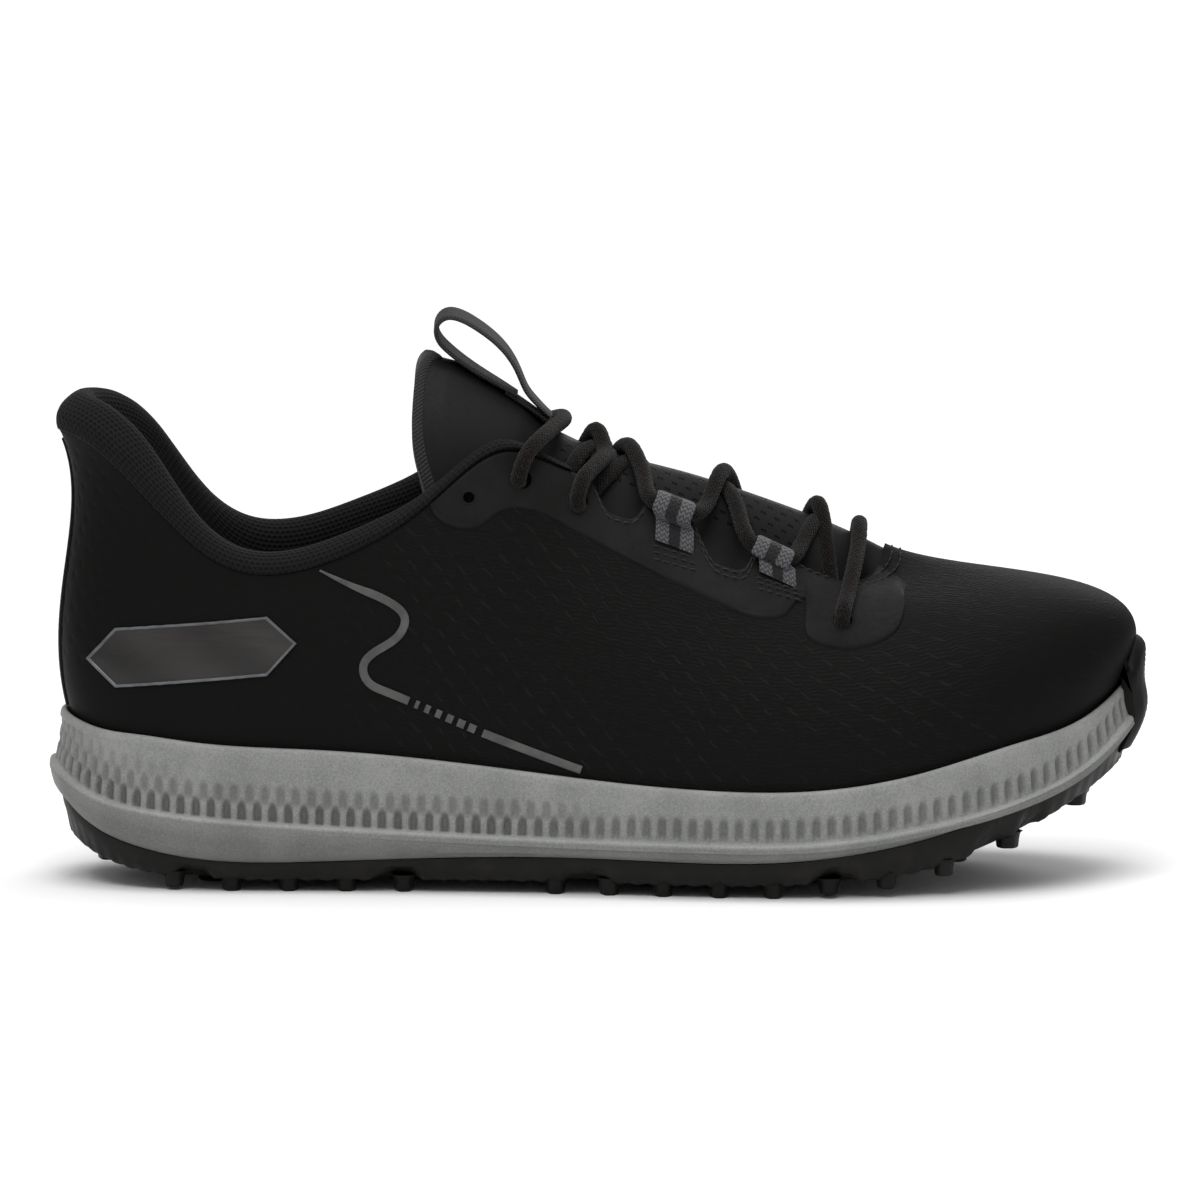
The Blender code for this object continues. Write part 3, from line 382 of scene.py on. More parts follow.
def rounded(sections, count):
    """Each closed section drawn again as a smooth curve with that many points."""
    sections = np.asarray(sections, float)
    found = []
    for section in sections:
        chords = np.linalg.norm(np.roll(section, -1, axis=0) - section, axis=1)
        ends = np.concatenate([[0], np.cumsum(chords)])
        curve = spline(ends[:-1], section, period=ends[-1])
        found.append(curve(np.arange(count) / count * ends[-1]))
    return np.array(found)


def frames(path, first_side):
    """The way ahead at each point of a path, and a side and an up that turn as little as they can."""
    ahead = unit(np.gradient(path, axis=0))
    side, sides = np.array(first_side, float), []
    for way in ahead:
        side = unit(side - way * (side @ way))
        sides.append(side)
    sides = np.array(sides)
    return ahead, sides, np.cross(ahead, sides)


def tube(path, radius, sides, first_side=(0, 0, 1)):
    """Round sections along a path. radius is one number or one for each point and side."""
    _, side, up = frames(path, first_side)
    turns = np.arange(sides) * 2 * math.pi / sides
    radius = np.broadcast_to(np.asarray(radius, float), (len(path), sides))[..., None]
    return path[:, None] + radius * (
        np.cos(turns)[None, :, None] * side[:, None] + np.sin(turns)[None, :, None] * up[:, None]
    )


def ribbon(path, across, width, thickness, columns=12):
    """Closed sections of webbing with rounded edges along a path."""
    path = np.asarray(path, float)
    across = unit(np.broadcast_to(np.asarray(across, float), path.shape))
    face = unit(np.cross(across, unit(np.gradient(path, axis=0))))
    share = np.linspace(-1, 1, columns)
    lift = np.sqrt(np.clip(1 - np.abs(share) ** 8, 0, 1)) * 0.5
    middle = path[:, None] + across[:, None] * (share * width / 2)[:, None]
    off = face[:, None] * (lift * thickness)[:, None]
    return np.concatenate([middle + off, (middle - off)[:, -2:0:-1]], axis=1)


# ---------------------------------------------------------------- materials


class Look:
    """A procedural material put together from nodes. Lengths in it are millimetres."""

    def __init__(self, name, colour, roughness, specular=0.5, **fixed):
        self.material = bpy.data.materials.new(name)
        self.material.use_nodes = True
        self.tree = self.material.node_tree
        self.shader = self.tree.nodes["Principled BSDF"]
        self.shader.inputs["Base Color"].default_value = (*colour, 1)
        self.shader.inputs["Roughness"].default_value = roughness
        self.shader.inputs["Specular IOR Level"].default_value = specular
        for socket, value in fixed.items():
            self.shader.inputs[socket.replace("_", " ")].default_value = value
        self.last_bump = None

    def add(self, kind, inputs=(), **settings):
        made = self.tree.nodes.new(kind)
        for key, value in settings.items():
            setattr(made, key, value)
        for key, value in dict(inputs).items():
            self.feed(made.inputs[key], value)
        return made

    def feed(self, socket, value):
        if isinstance(value, bpy.types.NodeSocket):
            self.tree.links.new(value, socket)
        else:
            socket.default_value = value

    def calc(self, operation, *values):
        return self.add("ShaderNodeMath", enumerate(values), operation=operation).outputs[0]

    def times(self, a, b):
        return self.calc("MULTIPLY", a, b)

    def plus(self, a, b):
        return self.calc("ADD", a, b)

    def minus(self, a, b):
        return self.calc("SUBTRACT", a, b)

    def times_plus(self, a, b, c):
        return self.calc("MULTIPLY_ADD", a, b, c)

    def size(self, a):
        return self.calc("ABSOLUTE", a)

    def scaled(self, vector, by):
        return self.add("ShaderNodeVectorMath", {0: vector, "Scale": by}, operation="SCALE").outputs[0]

    def split(self, vector):
        return self.add("ShaderNodeSeparateXYZ", {0: vector}).outputs

    def lengths(self):
        """The surface's own coordinates, as a vector, along and across, in millimetres."""
        place = self.add("ShaderNodeUVMap", uv_map="lengths").outputs[0]
        return place, *self.split(place)[:2]

    def body(self):
        """The piece's own space in millimetres."""
        return self.scaled(self.add("ShaderNodeTexCoord").outputs["Object"], 1000.0)

    def noise(self, place, size, detail):
        inputs = {"Vector": place, "Scale": 1.0 / size, "Detail": detail, "Roughness": 0.5}
        return self.add("ShaderNodeTexNoise", inputs).outputs[0]

    def ease(self, value, low, high, to_low=0.0, to_high=1.0):
        inputs = {0: value, 1: low, 2: high, 3: to_low, 4: to_high}
        return self.add("ShaderNodeMapRange", inputs, interpolation_type="SMOOTHSTEP").outputs[0]

    def wave(self, value, pitch):
        """From 0 to 1 and back once in each pitch."""
        return self.times_plus(self.calc("SINE", self.times(value, 2 * math.pi / pitch)), 0.5, 0.5)

    def within(self, value, pitch):
        """How far into its step of one pitch a value is, from -0.5 to 0.5."""
        return self.minus(self.calc("FRACT", self.calc("DIVIDE", value, pitch)), 0.5)

    def cells(self, u, v, length, width, warp=0.0):
        """Where a point lies in its cell, ahead and across, in rows that are staggered by half a cell."""
        row = self.calc("FLOOR", self.calc("DIVIDE", v, width))
        shift = self.times_plus(self.calc("MODULO", row, 2.0), 0.5, warp)
        return self.within(self.times_plus(shift, length, u), length), self.within(v, width)

    def reach(self, a, b):
        return self.calc("SQRT", self.plus(self.times(a, a), self.times(b, b)))

    def blend(self, share, first, second):
        """One colour or socket at 0 and another at 1."""
        inputs = {0: share, 6: first, 7: second}
        inputs = {key: (*value, 1) if isinstance(value, tuple) else value for key, value in inputs.items()}
        return self.add("ShaderNodeMix", inputs, data_type="RGBA").outputs[2]

    def paint(self, colour):
        self.feed(self.shader.inputs["Base Color"], colour)
        return self

    def rough(self, noise, low, high):
        self.feed(self.shader.inputs["Roughness"], self.ease(noise, 0.3, 0.7, low, high))
        return self

    def bump(self, height, depth):
        """Raises the surface by depth millimetres where height is 1."""
        made = self.add("ShaderNodeBump", {"Height": height, "Distance": depth * 0.001, "Strength": 1.0})
        if self.last_bump:
            self.feed(made.inputs["Normal"], self.last_bump)
        self.last_bump = made.outputs[0]
        self.feed(self.shader.inputs["Normal"], self.last_bump)
        return self

    def textile(self, tone, depth, fuzz, fuzz_depth, sheen):
        """The finished material of threads that stand up where tone is 1, with fuzz and a sheen."""
        self.bump(tone, depth)
        if fuzz:
            self.bump(self.noise(self.body(), fuzz, 2), fuzz_depth)
        self.shader.inputs["Sheen Weight"].default_value = sheen
        self.shader.inputs["Sheen Roughness"].default_value = 0.5
        self.shader.inputs["Sheen Tint"].default_value = (1, 1, 1, 1)
        return self.material


def foam_look():
    """Moulded foam with a grainy satin paint in random lighter patches, scaled by the mesh's painted shade
    and painted highlight.
    """
    look = Look("midsole_paint", (0.19, 0.195, 0.185), 0.5, 0.35)
    place = look.body()
    grain = look.noise(place, 0.55, 4)
    tone = look.times_plus(look.noise(place, 14.0, 3), 0.4, look.times(grain, 0.6))
    paint = look.blend(look.ease(tone, 0.35, 0.65), (0.155, 0.16, 0.152), (0.225, 0.23, 0.22))
    # painted shade and painted highlight from the mesh: the paint is scaled by one minus this value
    painted_light = look.add("ShaderNodeAttribute", attribute_name="painted_light").outputs["Fac"]
    look.paint(look.scaled(paint, look.minus(1.0, painted_light))).rough(grain, 0.42, 0.6)
    look.bump(look.noise(place, 0.4, 2), 0.05).bump(look.noise(place, 2.4, 3), 0.06)
    return look.material


def rubber_look(name, colour, shine):
    look = Look(name, colour, 0.5, shine)
    place = look.body()
    patches = look.noise(place, 9.0, 4)
    light = tuple(c * 1.7 + 0.003 for c in colour)
    look.paint(look.blend(look.ease(patches, 0.4, 0.7), colour, light)).rough(patches, 0.42, 0.62)
    look.bump(look.noise(place, 0.5, 3), 0.04).bump(look.noise(place, 3.0, 2), 0.05)
    return look.material


CELL_LENGTH, CELL_WIDTH = 7.5, 4.4  # of the upper's staggered strokes and dimples


def upper_look():
    """Synthetic leather embossed with fine wavy ridges, broken by rows of short slanted strokes, both
    painted lighter as a painted highlight.
    """
    # The pale colour is painted highlight on the strokes and ridges.
    black, pale_tone = (0.0058, 0.0058, 0.0056), (0.0104, 0.0104, 0.01)
    look = Look("upper_leather", black, 0.55, 0.04)
    place, u, v = look.lengths()
    cell = look.cells(u, v, CELL_LENGTH, CELL_WIDTH, look.times(look.noise(place, 16.0, 2), 0.7))
    ahead, up = look.times(cell[0], CELL_LENGTH), look.times(cell[1], CELL_WIDTH)
    line = look.ease(look.size(look.times_plus(ahead, 0.9, up)), 0.2, 0.7, 1.0, 0.0)
    stroke = look.times(line, look.ease(look.size(ahead), 0.9, 1.5, 1.0, 0.0))
    where = look.split(look.body())[0]
    share = look.times(look.ease(where, -82.0, -45.0, 0.12, 1.0), look.ease(where, 96.0, 124.0, 1.0, 0.3))
    patches = look.ease(look.noise(place, 24.0, 3), 0.38, 0.6, 0.1, 1.0)
    stroke = look.times(look.times(stroke, patches), share)
    drift = look.times_plus(look.noise(place, 6.0, 2), 2.4, look.ease(ahead, -1.2, 1.2, 0.0, 0.9))
    broken = look.ease(look.noise(place, 2.2, 2), 0.36, 0.58, 0.2, 1.0)
    ridge = look.times(look.wave(look.plus(v, drift), 1.15), look.times(broken, share))
    fine = look.noise(look.body(), 0.35, 2)
    # The strokes and the ridges are painted pale: a painted highlight on them.
    tone = look.times_plus(stroke, 0.9, look.times(ridge, 0.4))
    look.paint(look.blend(look.ease(tone, 0.05, 1.0), black, pale_tone)).rough(fine, 0.52, 0.6)
    look.bump(ridge, 0.085).bump(stroke, 0.12).bump(fine, 0.012)
    return look.material


def film_look():
    """Smooth film with a faint grain and random lighter patches, and painted shade darkening it towards the
    toe, where its front faces up.
    """
    look = Look("overlay_film", (0.0082, 0.0082, 0.008), 0.52, 0.07)
    place = look.body()
    cells = look.add("ShaderNodeTexVoronoi", {"Vector": place, "Scale": 1 / 0.9}).outputs["Distance"]
    pale_tone = look.ease(look.noise(place, 11.0, 4), 0.35, 0.65, 1 / 1.35, 1.0)
    # Painted shade: darkened to 0.7 of its colour from x 48 to 62 and on towards the toe, where the film
    # faces up into the light.
    tone = look.times(pale_tone, look.ease(look.split(place)[0], 48.0, 62.0, 1.0, 0.7))
    look.paint(look.blend(tone, (0, 0, 0), (0.01107, 0.01107, 0.0108)))
    look.rough(look.noise(place, 1.2, 3), 0.47, 0.59)
    look.bump(cells, 0.03).bump(look.noise(place, 5.0, 3), 0.08)
    return look.material


def perforated_look():
    """The tongue's smooth face, with small slots punched in staggered rows along its middle."""
    face = (0.0082, 0.0082, 0.0086)
    look = Look("tongue_leather", face, 0.52, 0.1)
    _, u, v = look.lengths()
    ahead, across = look.cells(u, v, 4.0, 2.6)
    hole = look.ease(look.size(across), 0.09, 0.16, 1.0, 0.0)
    hole = look.times(hole, look.ease(look.size(ahead), 0.13, 0.19, 1.0, 0.0))
    for along_it, start, end, fade in ((u, 37.0, 108.0, 2.0), (v, 12.0, 52.0, 1.0)):
        hole = look.times(hole, look.ease(along_it, start, start + 1.0))
        hole = look.times(hole, look.ease(along_it, end, end + fade, 1.0, 0.0))
    grain = look.noise(look.body(), 0.8, 3)
    # The punched slots are painted near black: painted shade inside them.
    look.paint(look.blend(hole, face, (0.0006, 0.0006, 0.0006))).rough(grain, 0.47, 0.58)
    look.bump(grain, 0.03).bump(look.minus(1.0, hole), 0.5)
    return look.material


def mesh_look(name, dark, light):
    """Spacer mesh: rows of round cells, each offset half a cell from the last."""
    look = Look(name, dark, 0.85, 0.15)
    _, u, v = look.lengths()
    thread = look.ease(look.reach(*look.cells(u, v, 1.5, 1.305)), 0.2, 0.46)
    fuzz = look.noise(look.body(), 0.5, 3)
    look.paint(look.blend(look.times(thread, look.ease(fuzz, 0.25, 0.75, 0.55, 1.0)), dark, light))
    look.bump(thread, 0.35)
    return look.textile(fuzz, 0.08, None, 0, 0.01)


def knit_look(name, dark, light, pitch=1.1):
    """Fine knit in ribs along the piece."""
    look = Look(name, dark, 0.9, 0.15)
    _, u, v = look.lengths()
    rib = look.wave(v, pitch)
    stitch = look.wave(look.times_plus(rib, 0.3, u), pitch * 0.9)
    tone = look.times(rib, look.times_plus(stitch, 0.5, 0.5))
    look.paint(look.blend(tone, dark, light))
    return look.textile(tone, 0.25, 0.4, 0.05, 0.08)


def webbing_look(name, dark, light):
    """Woven tape, with ribs across and threads that pass over and under along it."""
    look = Look(name, dark, 0.75, 0.2)
    _, u, v = look.lengths()
    over = look.wave(look.times_plus(look.wave(v, 1.8), 0.45, u), 0.9)
    tone = look.times(over, look.times_plus(look.wave(v, 0.9), 0.6, 0.4))
    look.paint(look.blend(tone, dark, light))
    return look.textile(tone, 0.22, 0.3, 0.04, 0.06)


def striped_webbing_look(width):
    """Grey woven tape with a black band down its middle."""
    look = Look("loop_tape", (0.05, 0.05, 0.055), 0.7, 0.25)
    _, u, v = look.lengths()
    middle = look.size(look.minus(look.calc("MODULO", v, width), width / 2))
    over = look.wave(look.times_plus(look.wave(v, 1.5), 0.75, u), 1.3)
    tone = look.times(over, look.times_plus(look.wave(v, 0.75), 0.5, 0.5))
    dark = look.blend(tone, (0.003, 0.003, 0.003), (0.013, 0.013, 0.013))
    light = look.blend(tone, (0.03, 0.03, 0.034), (0.135, 0.133, 0.142))
    look.paint(look.blend(look.ease(middle, 1.5, 1.75), dark, light))
    return look.textile(tone, 0.25, None, 0, 0.1)


def braid_look():
    """Round braided cord in two browns that are almost black."""
    look = Look("lace_braid", (0.016, 0.014, 0.0125), 0.8, 0.07)
    place, u, v = look.lengths()
    slant = look.times(u, 0.9)
    tone = look.calc("MAXIMUM", look.wave(look.plus(slant, v), 1.15), look.wave(look.minus(slant, v), 1.15))
    fleck = look.times(look.ease(look.noise(place, 0.9, 2), 0.52, 0.66), tone)
    warm = look.blend(tone, (0.0016, 0.0014, 0.0013), (0.0066, 0.0056, 0.0049))
    look.paint(look.blend(fleck, warm, (0.017, 0.0115, 0.0088)))
    return look.textile(tone, 0.22, 0.35, 0.05, 0.08)


def dotted_look():
    """Black film covered with small raised dots."""
    look = Look("heel_strip_film", (0.005, 0.005, 0.005), 0.55, 0.12)
    _, u, v = look.lengths()
    dot = look.ease(look.reach(look.within(u, 1.7), look.within(v, 1.7)), 0.2, 0.38, 1.0, 0.0)
    look.paint(look.blend(dot, (0.003, 0.003, 0.003), (0.0085, 0.0085, 0.0085)))
    look.bump(dot, 0.3).bump(look.noise(look.body(), 0.6, 2), 0.03)
    return look.material


def plain_look(name, dark, light, size, roughness, shine=0.3, depth=0.05, metallic=0.0):
    look = Look(name, dark, roughness, shine, Metallic=metallic)
    place = look.body()
    look.paint(look.blend(look.ease(look.noise(place, size, 4), 0.35, 0.65), dark, light))
    look.rough(look.noise(place, size * 2, 3), roughness - 0.05, roughness + 0.06)
    look.bump(look.noise(place, size * 0.6, 3), depth)
    return look.material


def gradient_look(name, dark, light):
    """Satin dark metal foil, brushed along its length, with painted reflection: lighter towards its upper
    edge and in broad slanted bands.
    """
    look = Look(name, dark, 0.34, 0.4, Metallic=0.3)
    x, _, z = look.split(look.body())
    stretch = look.add("ShaderNodeVectorMath", {0: look.body(), 1: (0.05, 1.0, 2.2)}, operation="MULTIPLY")
    streak = look.noise(stretch.outputs[0], 1.0, 3)
    # Painted reflection: broad slanted bands and a lighter upper edge.
    reflection_bands = look.wave(look.times_plus(z, 1.4, x), 34.0)
    tone = look.times_plus(reflection_bands, 0.45, look.times(look.ease(z, 59.0, 71.0), 0.4))
    look.paint(look.blend(look.times_plus(streak, 0.25, tone), dark, light)).rough(streak, 0.28, 0.42)
    return look.bump(streak, 0.012).material


# ---------------------------------------------------------------- sole

RIB_PITCH = 4.2
MIDSOLE_LOW = (  # the lower band, as (inset, share of the way up to the ledge, lift)
    (SOLE_CORNER, 0, 0.1), (2.4, 0, 0.7), (1.6, 0, 1.5), (0.9, 0.25, 0), (0.4, 0.5, 0), (0.1, 0.75, 0),
    (0, 1, -2.4), (0.03, 1, -1.4), (0.12, 1, -0.75), (0.35, 1, -0.3), (0.7, 1, -0.05), (1.1, 1, 0),
    (1.45, 1, 0.08),
)
MIDSOLE_RIM = (  # over the rim and down inside it, as (inset, height above the rim)
    (3.0, -1.9), (3.1, -1.1), (3.4, -0.4), (3.8, -0.08), (4.2, 0), (4.6, -0.08), (4.9, -0.35),
    (RIM_INSET, -1.2), (RIM_INSET, -CUP_DEPTH), (9.0, -CUP_DEPTH),
)


def ring_at(ts, distance, z):
    """A ring at one inset from the outline, with its heights."""
    return np.column_stack([inset(ts, distance), z])


def outline_lengths(ts):
    """How far along the outline each t lies."""
    dense = np.linspace(0, 1, 4001)
    return np.interp(ts, dense, travel(plan(dense)))


def rib_depth(ts, above):
    """How deep the slots between the midsole's ribs are, at heights above its ledge."""
    x = plan(ts)[:, 0]
    turns = outline_lengths(ts) / RIB_PITCH
    back = smooth_step(x, 12, -30)
    heel = smooth_step(x, -95, -125)

    def slots(phase, share, low, high):
        place = np.abs((turns + phase) % 1.0 - 0.5) / share
        rise = np.abs(above - (low + high) / 2) / ((high - low) / 2)
        return smooth_step((place**3 + rise**3) ** (1 / 3), 1.35, 0.5)

    front = 0.95 * slots(0, 0.26, 0.4, 6.4)
    low = 1.3 * slots(0, 0.25, -0.8, 5.2)
    middle = 0.75 * slots(0.5, 0.26, 4.0, 9.6)
    high = 0.4 * slots(0, 0.26, 8.4, 13.6)
    return low * back + middle * smooth_step(x, 8, -20) + high * heel + front * (1 - back)


def make_midsole(look):
    """The midsole, with its staggered ribs between the ledge and the rim, and its painted shade and painted
    highlight.
    """
    columns = 1400
    ts = np.arange(columns) / columns
    x = plan(ts)[:, 0]
    sole, ledge, rim = sole_z(x), ledge_z(x), rim_z(x)
    rings = [ring_at(ts, SOLE_EDGE, sole_z(inset(ts, SOLE_EDGE)[:, 0]))]
    rings += [ring_at(ts, d, sole * (1 - share) + ledge * share + lift) for d, share, lift in MIDSOLE_LOW]
    # Painted shade on the lower band, deeper where it curves under and more towards the toe, and painted
    # highlight on the ledge's lip.
    lower = 0.14 * smooth_step(x, 50, 115)
    deep = [(0.28 if d > 0.1 else 0.12) + lower for d, _, _ in MIDSOLE_LOW[:8]]
    deep = [np.full(columns, 0.2), *deep, *[np.full(columns, -0.25)] * 5]
    for share in np.linspace(0, 1, 30):
        height = ledge + 0.3 + (rim - 2.8 - ledge) * share
        hollow = 1.7 + 1.2 * np.sin(share * math.pi / 2) + 0.5 * share**2 * smooth_step(x, -110, -140)
        depth = rib_depth(ts, height - ledge)
        rings.append(ring_at(ts, hollow + depth, height))
        # Painted shade in the slots between the ribs, and painted highlight growing towards the rim.
        deep.append(np.clip(depth / 2.4, 0, 0.5) - 0.16 * share)
    rings += [ring_at(ts, d, rim + lift) for d, lift in MIDSOLE_RIM]
    # Painted highlight over the rim.
    deep += [np.full(columns, -0.2)] * len(MIDSOLE_RIM)
    rings = shrunk(rings[0])[::-1] + rings + shrunk(rings[-1])
    form = Form().grid(stacked(rings), ring=True, tube=False)
    blank = np.zeros((3, columns))
    form.painted_light = np.concatenate([blank, np.array(deep), blank]).T
    return form.piece("midsole_foam", look, replaces=["midsole"], slot="midsole_foam")


def shrunk(ring):
    """Three rings that close a stack at one of its ends, shrinking to a line along the shoe."""
    spine_x = np.clip(ring[:, 0], ring[:, 0].min() + 12, ring[:, 0].max() - 14)
    spine = np.column_stack([spine_x, np.full(len(ring), RIDGE_Y), ring[:, 2]])
    return [ring * (1 - share) + spine * share for share in (0.33, 0.66, 1.0)]


def stacked(rings):
    """A grid whose rows run up through a stack of rings."""
    return np.moveaxis(np.array(rings), 0, 1)


LUG_HEIGHT = 3.2
LUG_NEAR_GROUND = 0.6  # a lug that ends lower than this reaches the ground
OUTSOLE_RINGS = (  # from the midsole inwards, as (inset, share of the way up to the midsole, lift)
    (SOLE_EDGE, 1.0, -0.3), (SOLE_CORNER - 0.1, 1.0, -0.2), (3.3, 0.8, 0), (3.7, 0.5, 0), (4.4, 0.25, 0),
    (5.4, 0.1, 0), (6.8, 0.0, 0), (9.0, -0.06, 0), (12.0, 0.0, 0), (13.0, 0.1, 0), (14.5, 0.12, 0),
    (16.0, 0.1, 0), (17.0, 0.0, 0),
)


def lug_places():
    """Where the lugs stand, as (x, y, half length, half width)."""
    places = []
    for inner in (False, True):
        for x in (-115, -99.5, -84, -68.5, -53, -12, 2.5, 17, 32, 46.5, 61.5, 77, 92.5):
            edge = plan(t_on_side(x, inner))[1]
            places.append((x, edge - math.copysign(9.5, edge), 2.5, 3.4))
        for x in (112, 131):
            edge = plan(t_on_side(x, inner))[1]
            places.append((x - 2, edge - math.copysign(12 if x < 120 else 16, edge), 3.0, 3.2))
    for x in (-105, -87, -69):
        places += [(x, y, 4.2, 3.4) for y in (-9, 8)]
    for x in np.linspace(12, 96, 6):
        places += [(x, y + 1, 3.4, 3.4) for y in (-19, 0, 19)]
    return places + [(-134, 0, 3.0, 5.0), (-29, -3, 3.2, 9.0), (131, 6, 2.8, 5.5)]


# Where the tread's edge steps up between its lugs, as (x, half width).
TREAD_STEPS = ((-110.5, 5.0), (-55, 5.5), (-5, 5.5), (63.5, 6.0), (108, 4.5), (119, 3.5))


def make_outsole(look):
    """The rubber under the midsole, with a stepped lower edge, a rib pattern and its lugs."""
    ts = np.arange(900) / 900
    x_edge = plan(ts)[:, 0]
    scallop = sum(2.6 * np.exp(-(((x_edge - middle) / half) ** 4)) for middle, half in TREAD_STEPS)
    scallop = scallop + 0.25 * np.cos(outline_lengths(ts) * 2 * math.pi / 5.2)
    rings = []
    for distance, share, lift in OUTSOLE_RINGS:
        x = x_edge if distance < 4.5 else inset(ts, distance)[:, 0]
        z = tread_z(x) * (1 - share) + (sole_z(x) + 0.1) * share + lift
        z = z + scallop * np.interp(distance, (3.2, 4.4, 8, 12), (0, 1, 1, 0))
        rings.append(ring_at(ts, distance, z))
    form = Form().grid(stacked(rings + shrunk(rings[-1])), ring=True, tube=False)
    # A lug is six-sided with rounded corners, dished at its bottom and flared where it joins the tread.
    turns = np.radians(np.arange(36) * 10 + 30)
    corner = 0.5 + 0.5 * math.cos(math.pi / 6) / np.cos(turns % (math.pi / 3) - math.pi / 6)
    for x, y, half_length, half_width in lug_places():
        bottom, top = tread_z(x) - LUG_HEIGHT, tread_z(x) + 1.4
        bottom = 0.0 if bottom < LUG_NEAR_GROUND else bottom
        dish = bottom + 0.25
        levels = (
            (0.0, dish), (0.5, dish), (0.62, bottom), (0.88, bottom), (0.97, dish), (1.0, bottom + 0.6),
            (1.06, (bottom + top) / 2), (1.16, top - 0.7), (1.4, top),
        )
        wide, deep = half_length * corner * np.cos(turns), half_width * corner * np.sin(turns)
        form.grid([
            np.column_stack([x + wide * share, y + deep * share, np.full(36, z)]) for share, z in levels
        ])
    return form.piece("outsole_tread", look, replaces=["outsole"], slot="outsole_rubber", sharp=40)


GUARD_HALF = 0.0165  # half the guard's width, as a share of the outline
GUARD_ROOT = 3.0  # how deep it is set into the midsole and the upper
GUARD_TOP = 65.5


def make_toe_guard(look):
    """The rubber that turns up over the toe, with fine ridges across it."""
    clear, thickness = 0.1, 1.5
    levels = np.linspace(0, 1, 80)
    sections = []
    for t in np.linspace(TOE_T - GUARD_HALF, TOE_T + GUARD_HALF, 70):
        x = float(plan(t)[0])
        sole, ledge, rim = sole_z(x), ledge_z(x), rim_z(x)
        low = (4.2, sole - 6.0), (2.0, sole - 2.0), (0.6, sole + 1.5), (0.0, ledge), (0.7, rim - 1.5)
        path = [np.append(inset(t, d), z) for d, z in low]
        fall = 14 * ((t - TOE_T) / 0.02) ** 2
        s_top = np.interp(GUARD_TOP - fall, surface(t, levels)[:, 2], levels)
        s_low = WALL_SHARE + 0.05
        high = (0.3, 1.7), (0.7, 0.9), (1.0, 0.0)
        path += [upper(t, s_low + (s_top - s_low) * up, d) for up, d in high]
        path = evenly(resample(path, 0.5), 44)
        out = np.append(plan_normal(t), 0.0)
        face = unit(np.cross(np.gradient(path, axis=0), np.cross(out, (0, 0, 1))))
        face *= np.sign(face @ out)[:, None]
        share = np.linspace(0, 1, len(path))
        edge = np.minimum(smooth_step(share, 0, 0.05), smooth_step(share, 1, 0.88))
        side = smooth_step(abs(t - TOE_T), GUARD_HALF, GUARD_HALF * 0.6)
        ridges = 0.12 * np.cos(share * 2 * math.pi * 22) * smooth_step(share, 0.98, 0.8)
        high = clear + thickness * (0.08 + 0.92 * np.sqrt(edge * side)) + ridges
        sections.append(np.concatenate([path - face * GUARD_ROOT, (path + face * high[:, None])[::-1]]))
    form = Form().grid(sections, caps=True)
    return form.piece("toe_guard", look, replaces=["toe_bumper"], slot="bumper_rubber", sharp=60)


# ---------------------------------------------------------------- upper

# The two notches in each side of the throat's edge, as (x, half width, depth in s).
NOTCHES = ((5.4, 6.4, 0.105), (33.2, 7.4, 0.165))


def edge_s(x):
    """How far up the upper reaches where its top edge is at x."""
    x = np.asarray(x, float)
    return 1 - sum(depth * np.exp(-(((x - middle) / half) ** 4)) for middle, half, depth in NOTCHES)


def emboss(u, v, x):
    """How high the dimpled lattice round the heel stands."""
    row = np.floor(v / CELL_WIDTH)
    place = (u / CELL_LENGTH + (row % 2) * 0.5) % 1.0 - 0.5
    rise = v / CELL_WIDTH - row - 0.5
    dots = smooth_step(np.hypot(place * 4.2, rise * 3.0), 0.9, 0.4)
    heel = smooth_step(x, -62, -78) * smooth_step(v, 18, 26)
    return -0.16 * dots * heel


def make_upper(look):
    """The upper's shell with its embossing, from inside the midsole's rim to its top edge."""
    columns, rows = 660, 118
    ts = np.arange(columns) / columns
    ss = np.concatenate([[0.0, 0.05], WALL_SHARE + (1 - WALL_SHARE) * np.linspace(0, 1, rows)])
    x_top = surface(ts, 1.0)[:, 0]
    reach = edge_s(np.where(np.abs(x_top) < 60, x_top, -100))
    grid_s = ss[None, :] * (1 - (1 - reach)[:, None] * smooth_step(ss, 0.45, 1.0)[None, :])
    points = surface(ts[:, None], grid_s)
    places = lengths(points, True)
    u, v = places[:-1, :-1, 0], places[:-1, :-1, 1]
    outer = (ts < 0.5)[:, None]
    edge = smooth_step(grid_s, 0.13, 0.2) * smooth_step(1 - grid_s, 0.02, 0.06)
    height = emboss(np.where(outer, u, -u), v, points[..., 0]) * edge
    points = points + surface_normal(ts[:, None], grid_s) * height[..., None]
    inside = upper(ts[:, None], grid_s[:, ::9], -UPPER_THICKNESS)
    form = Form().grid(layer(points, inside), ring=True)
    return form.piece("upper_leather", look, replaces=["upper_shell"], slot="upper_synthetic", sharp=70)


LINING_TOP = ((-150, 0.746), (-20, 0.746), (0, 0.72), (50, 0.69), (60, 0.6), (70, 0.6), (77.5, 0.69))


def make_lining(look):
    ts = np.arange(320) / 320
    top = np.interp(surface(ts, 1.0)[:, 0], *zip(*LINING_TOP))
    levels = np.linspace(0, 1, 40)[None, :] * top[:, None]
    sections = layer(upper(ts[:, None], levels, -LINING[0]), upper(ts[:, None], levels, -LINING[1]))
    form = Form().grid(sections, ring=True)
    return form.piece("lining_knit", look, replaces=["lining"], slot="lining_textile")


COLLAR_END = -8  # the x at which the collar runs out
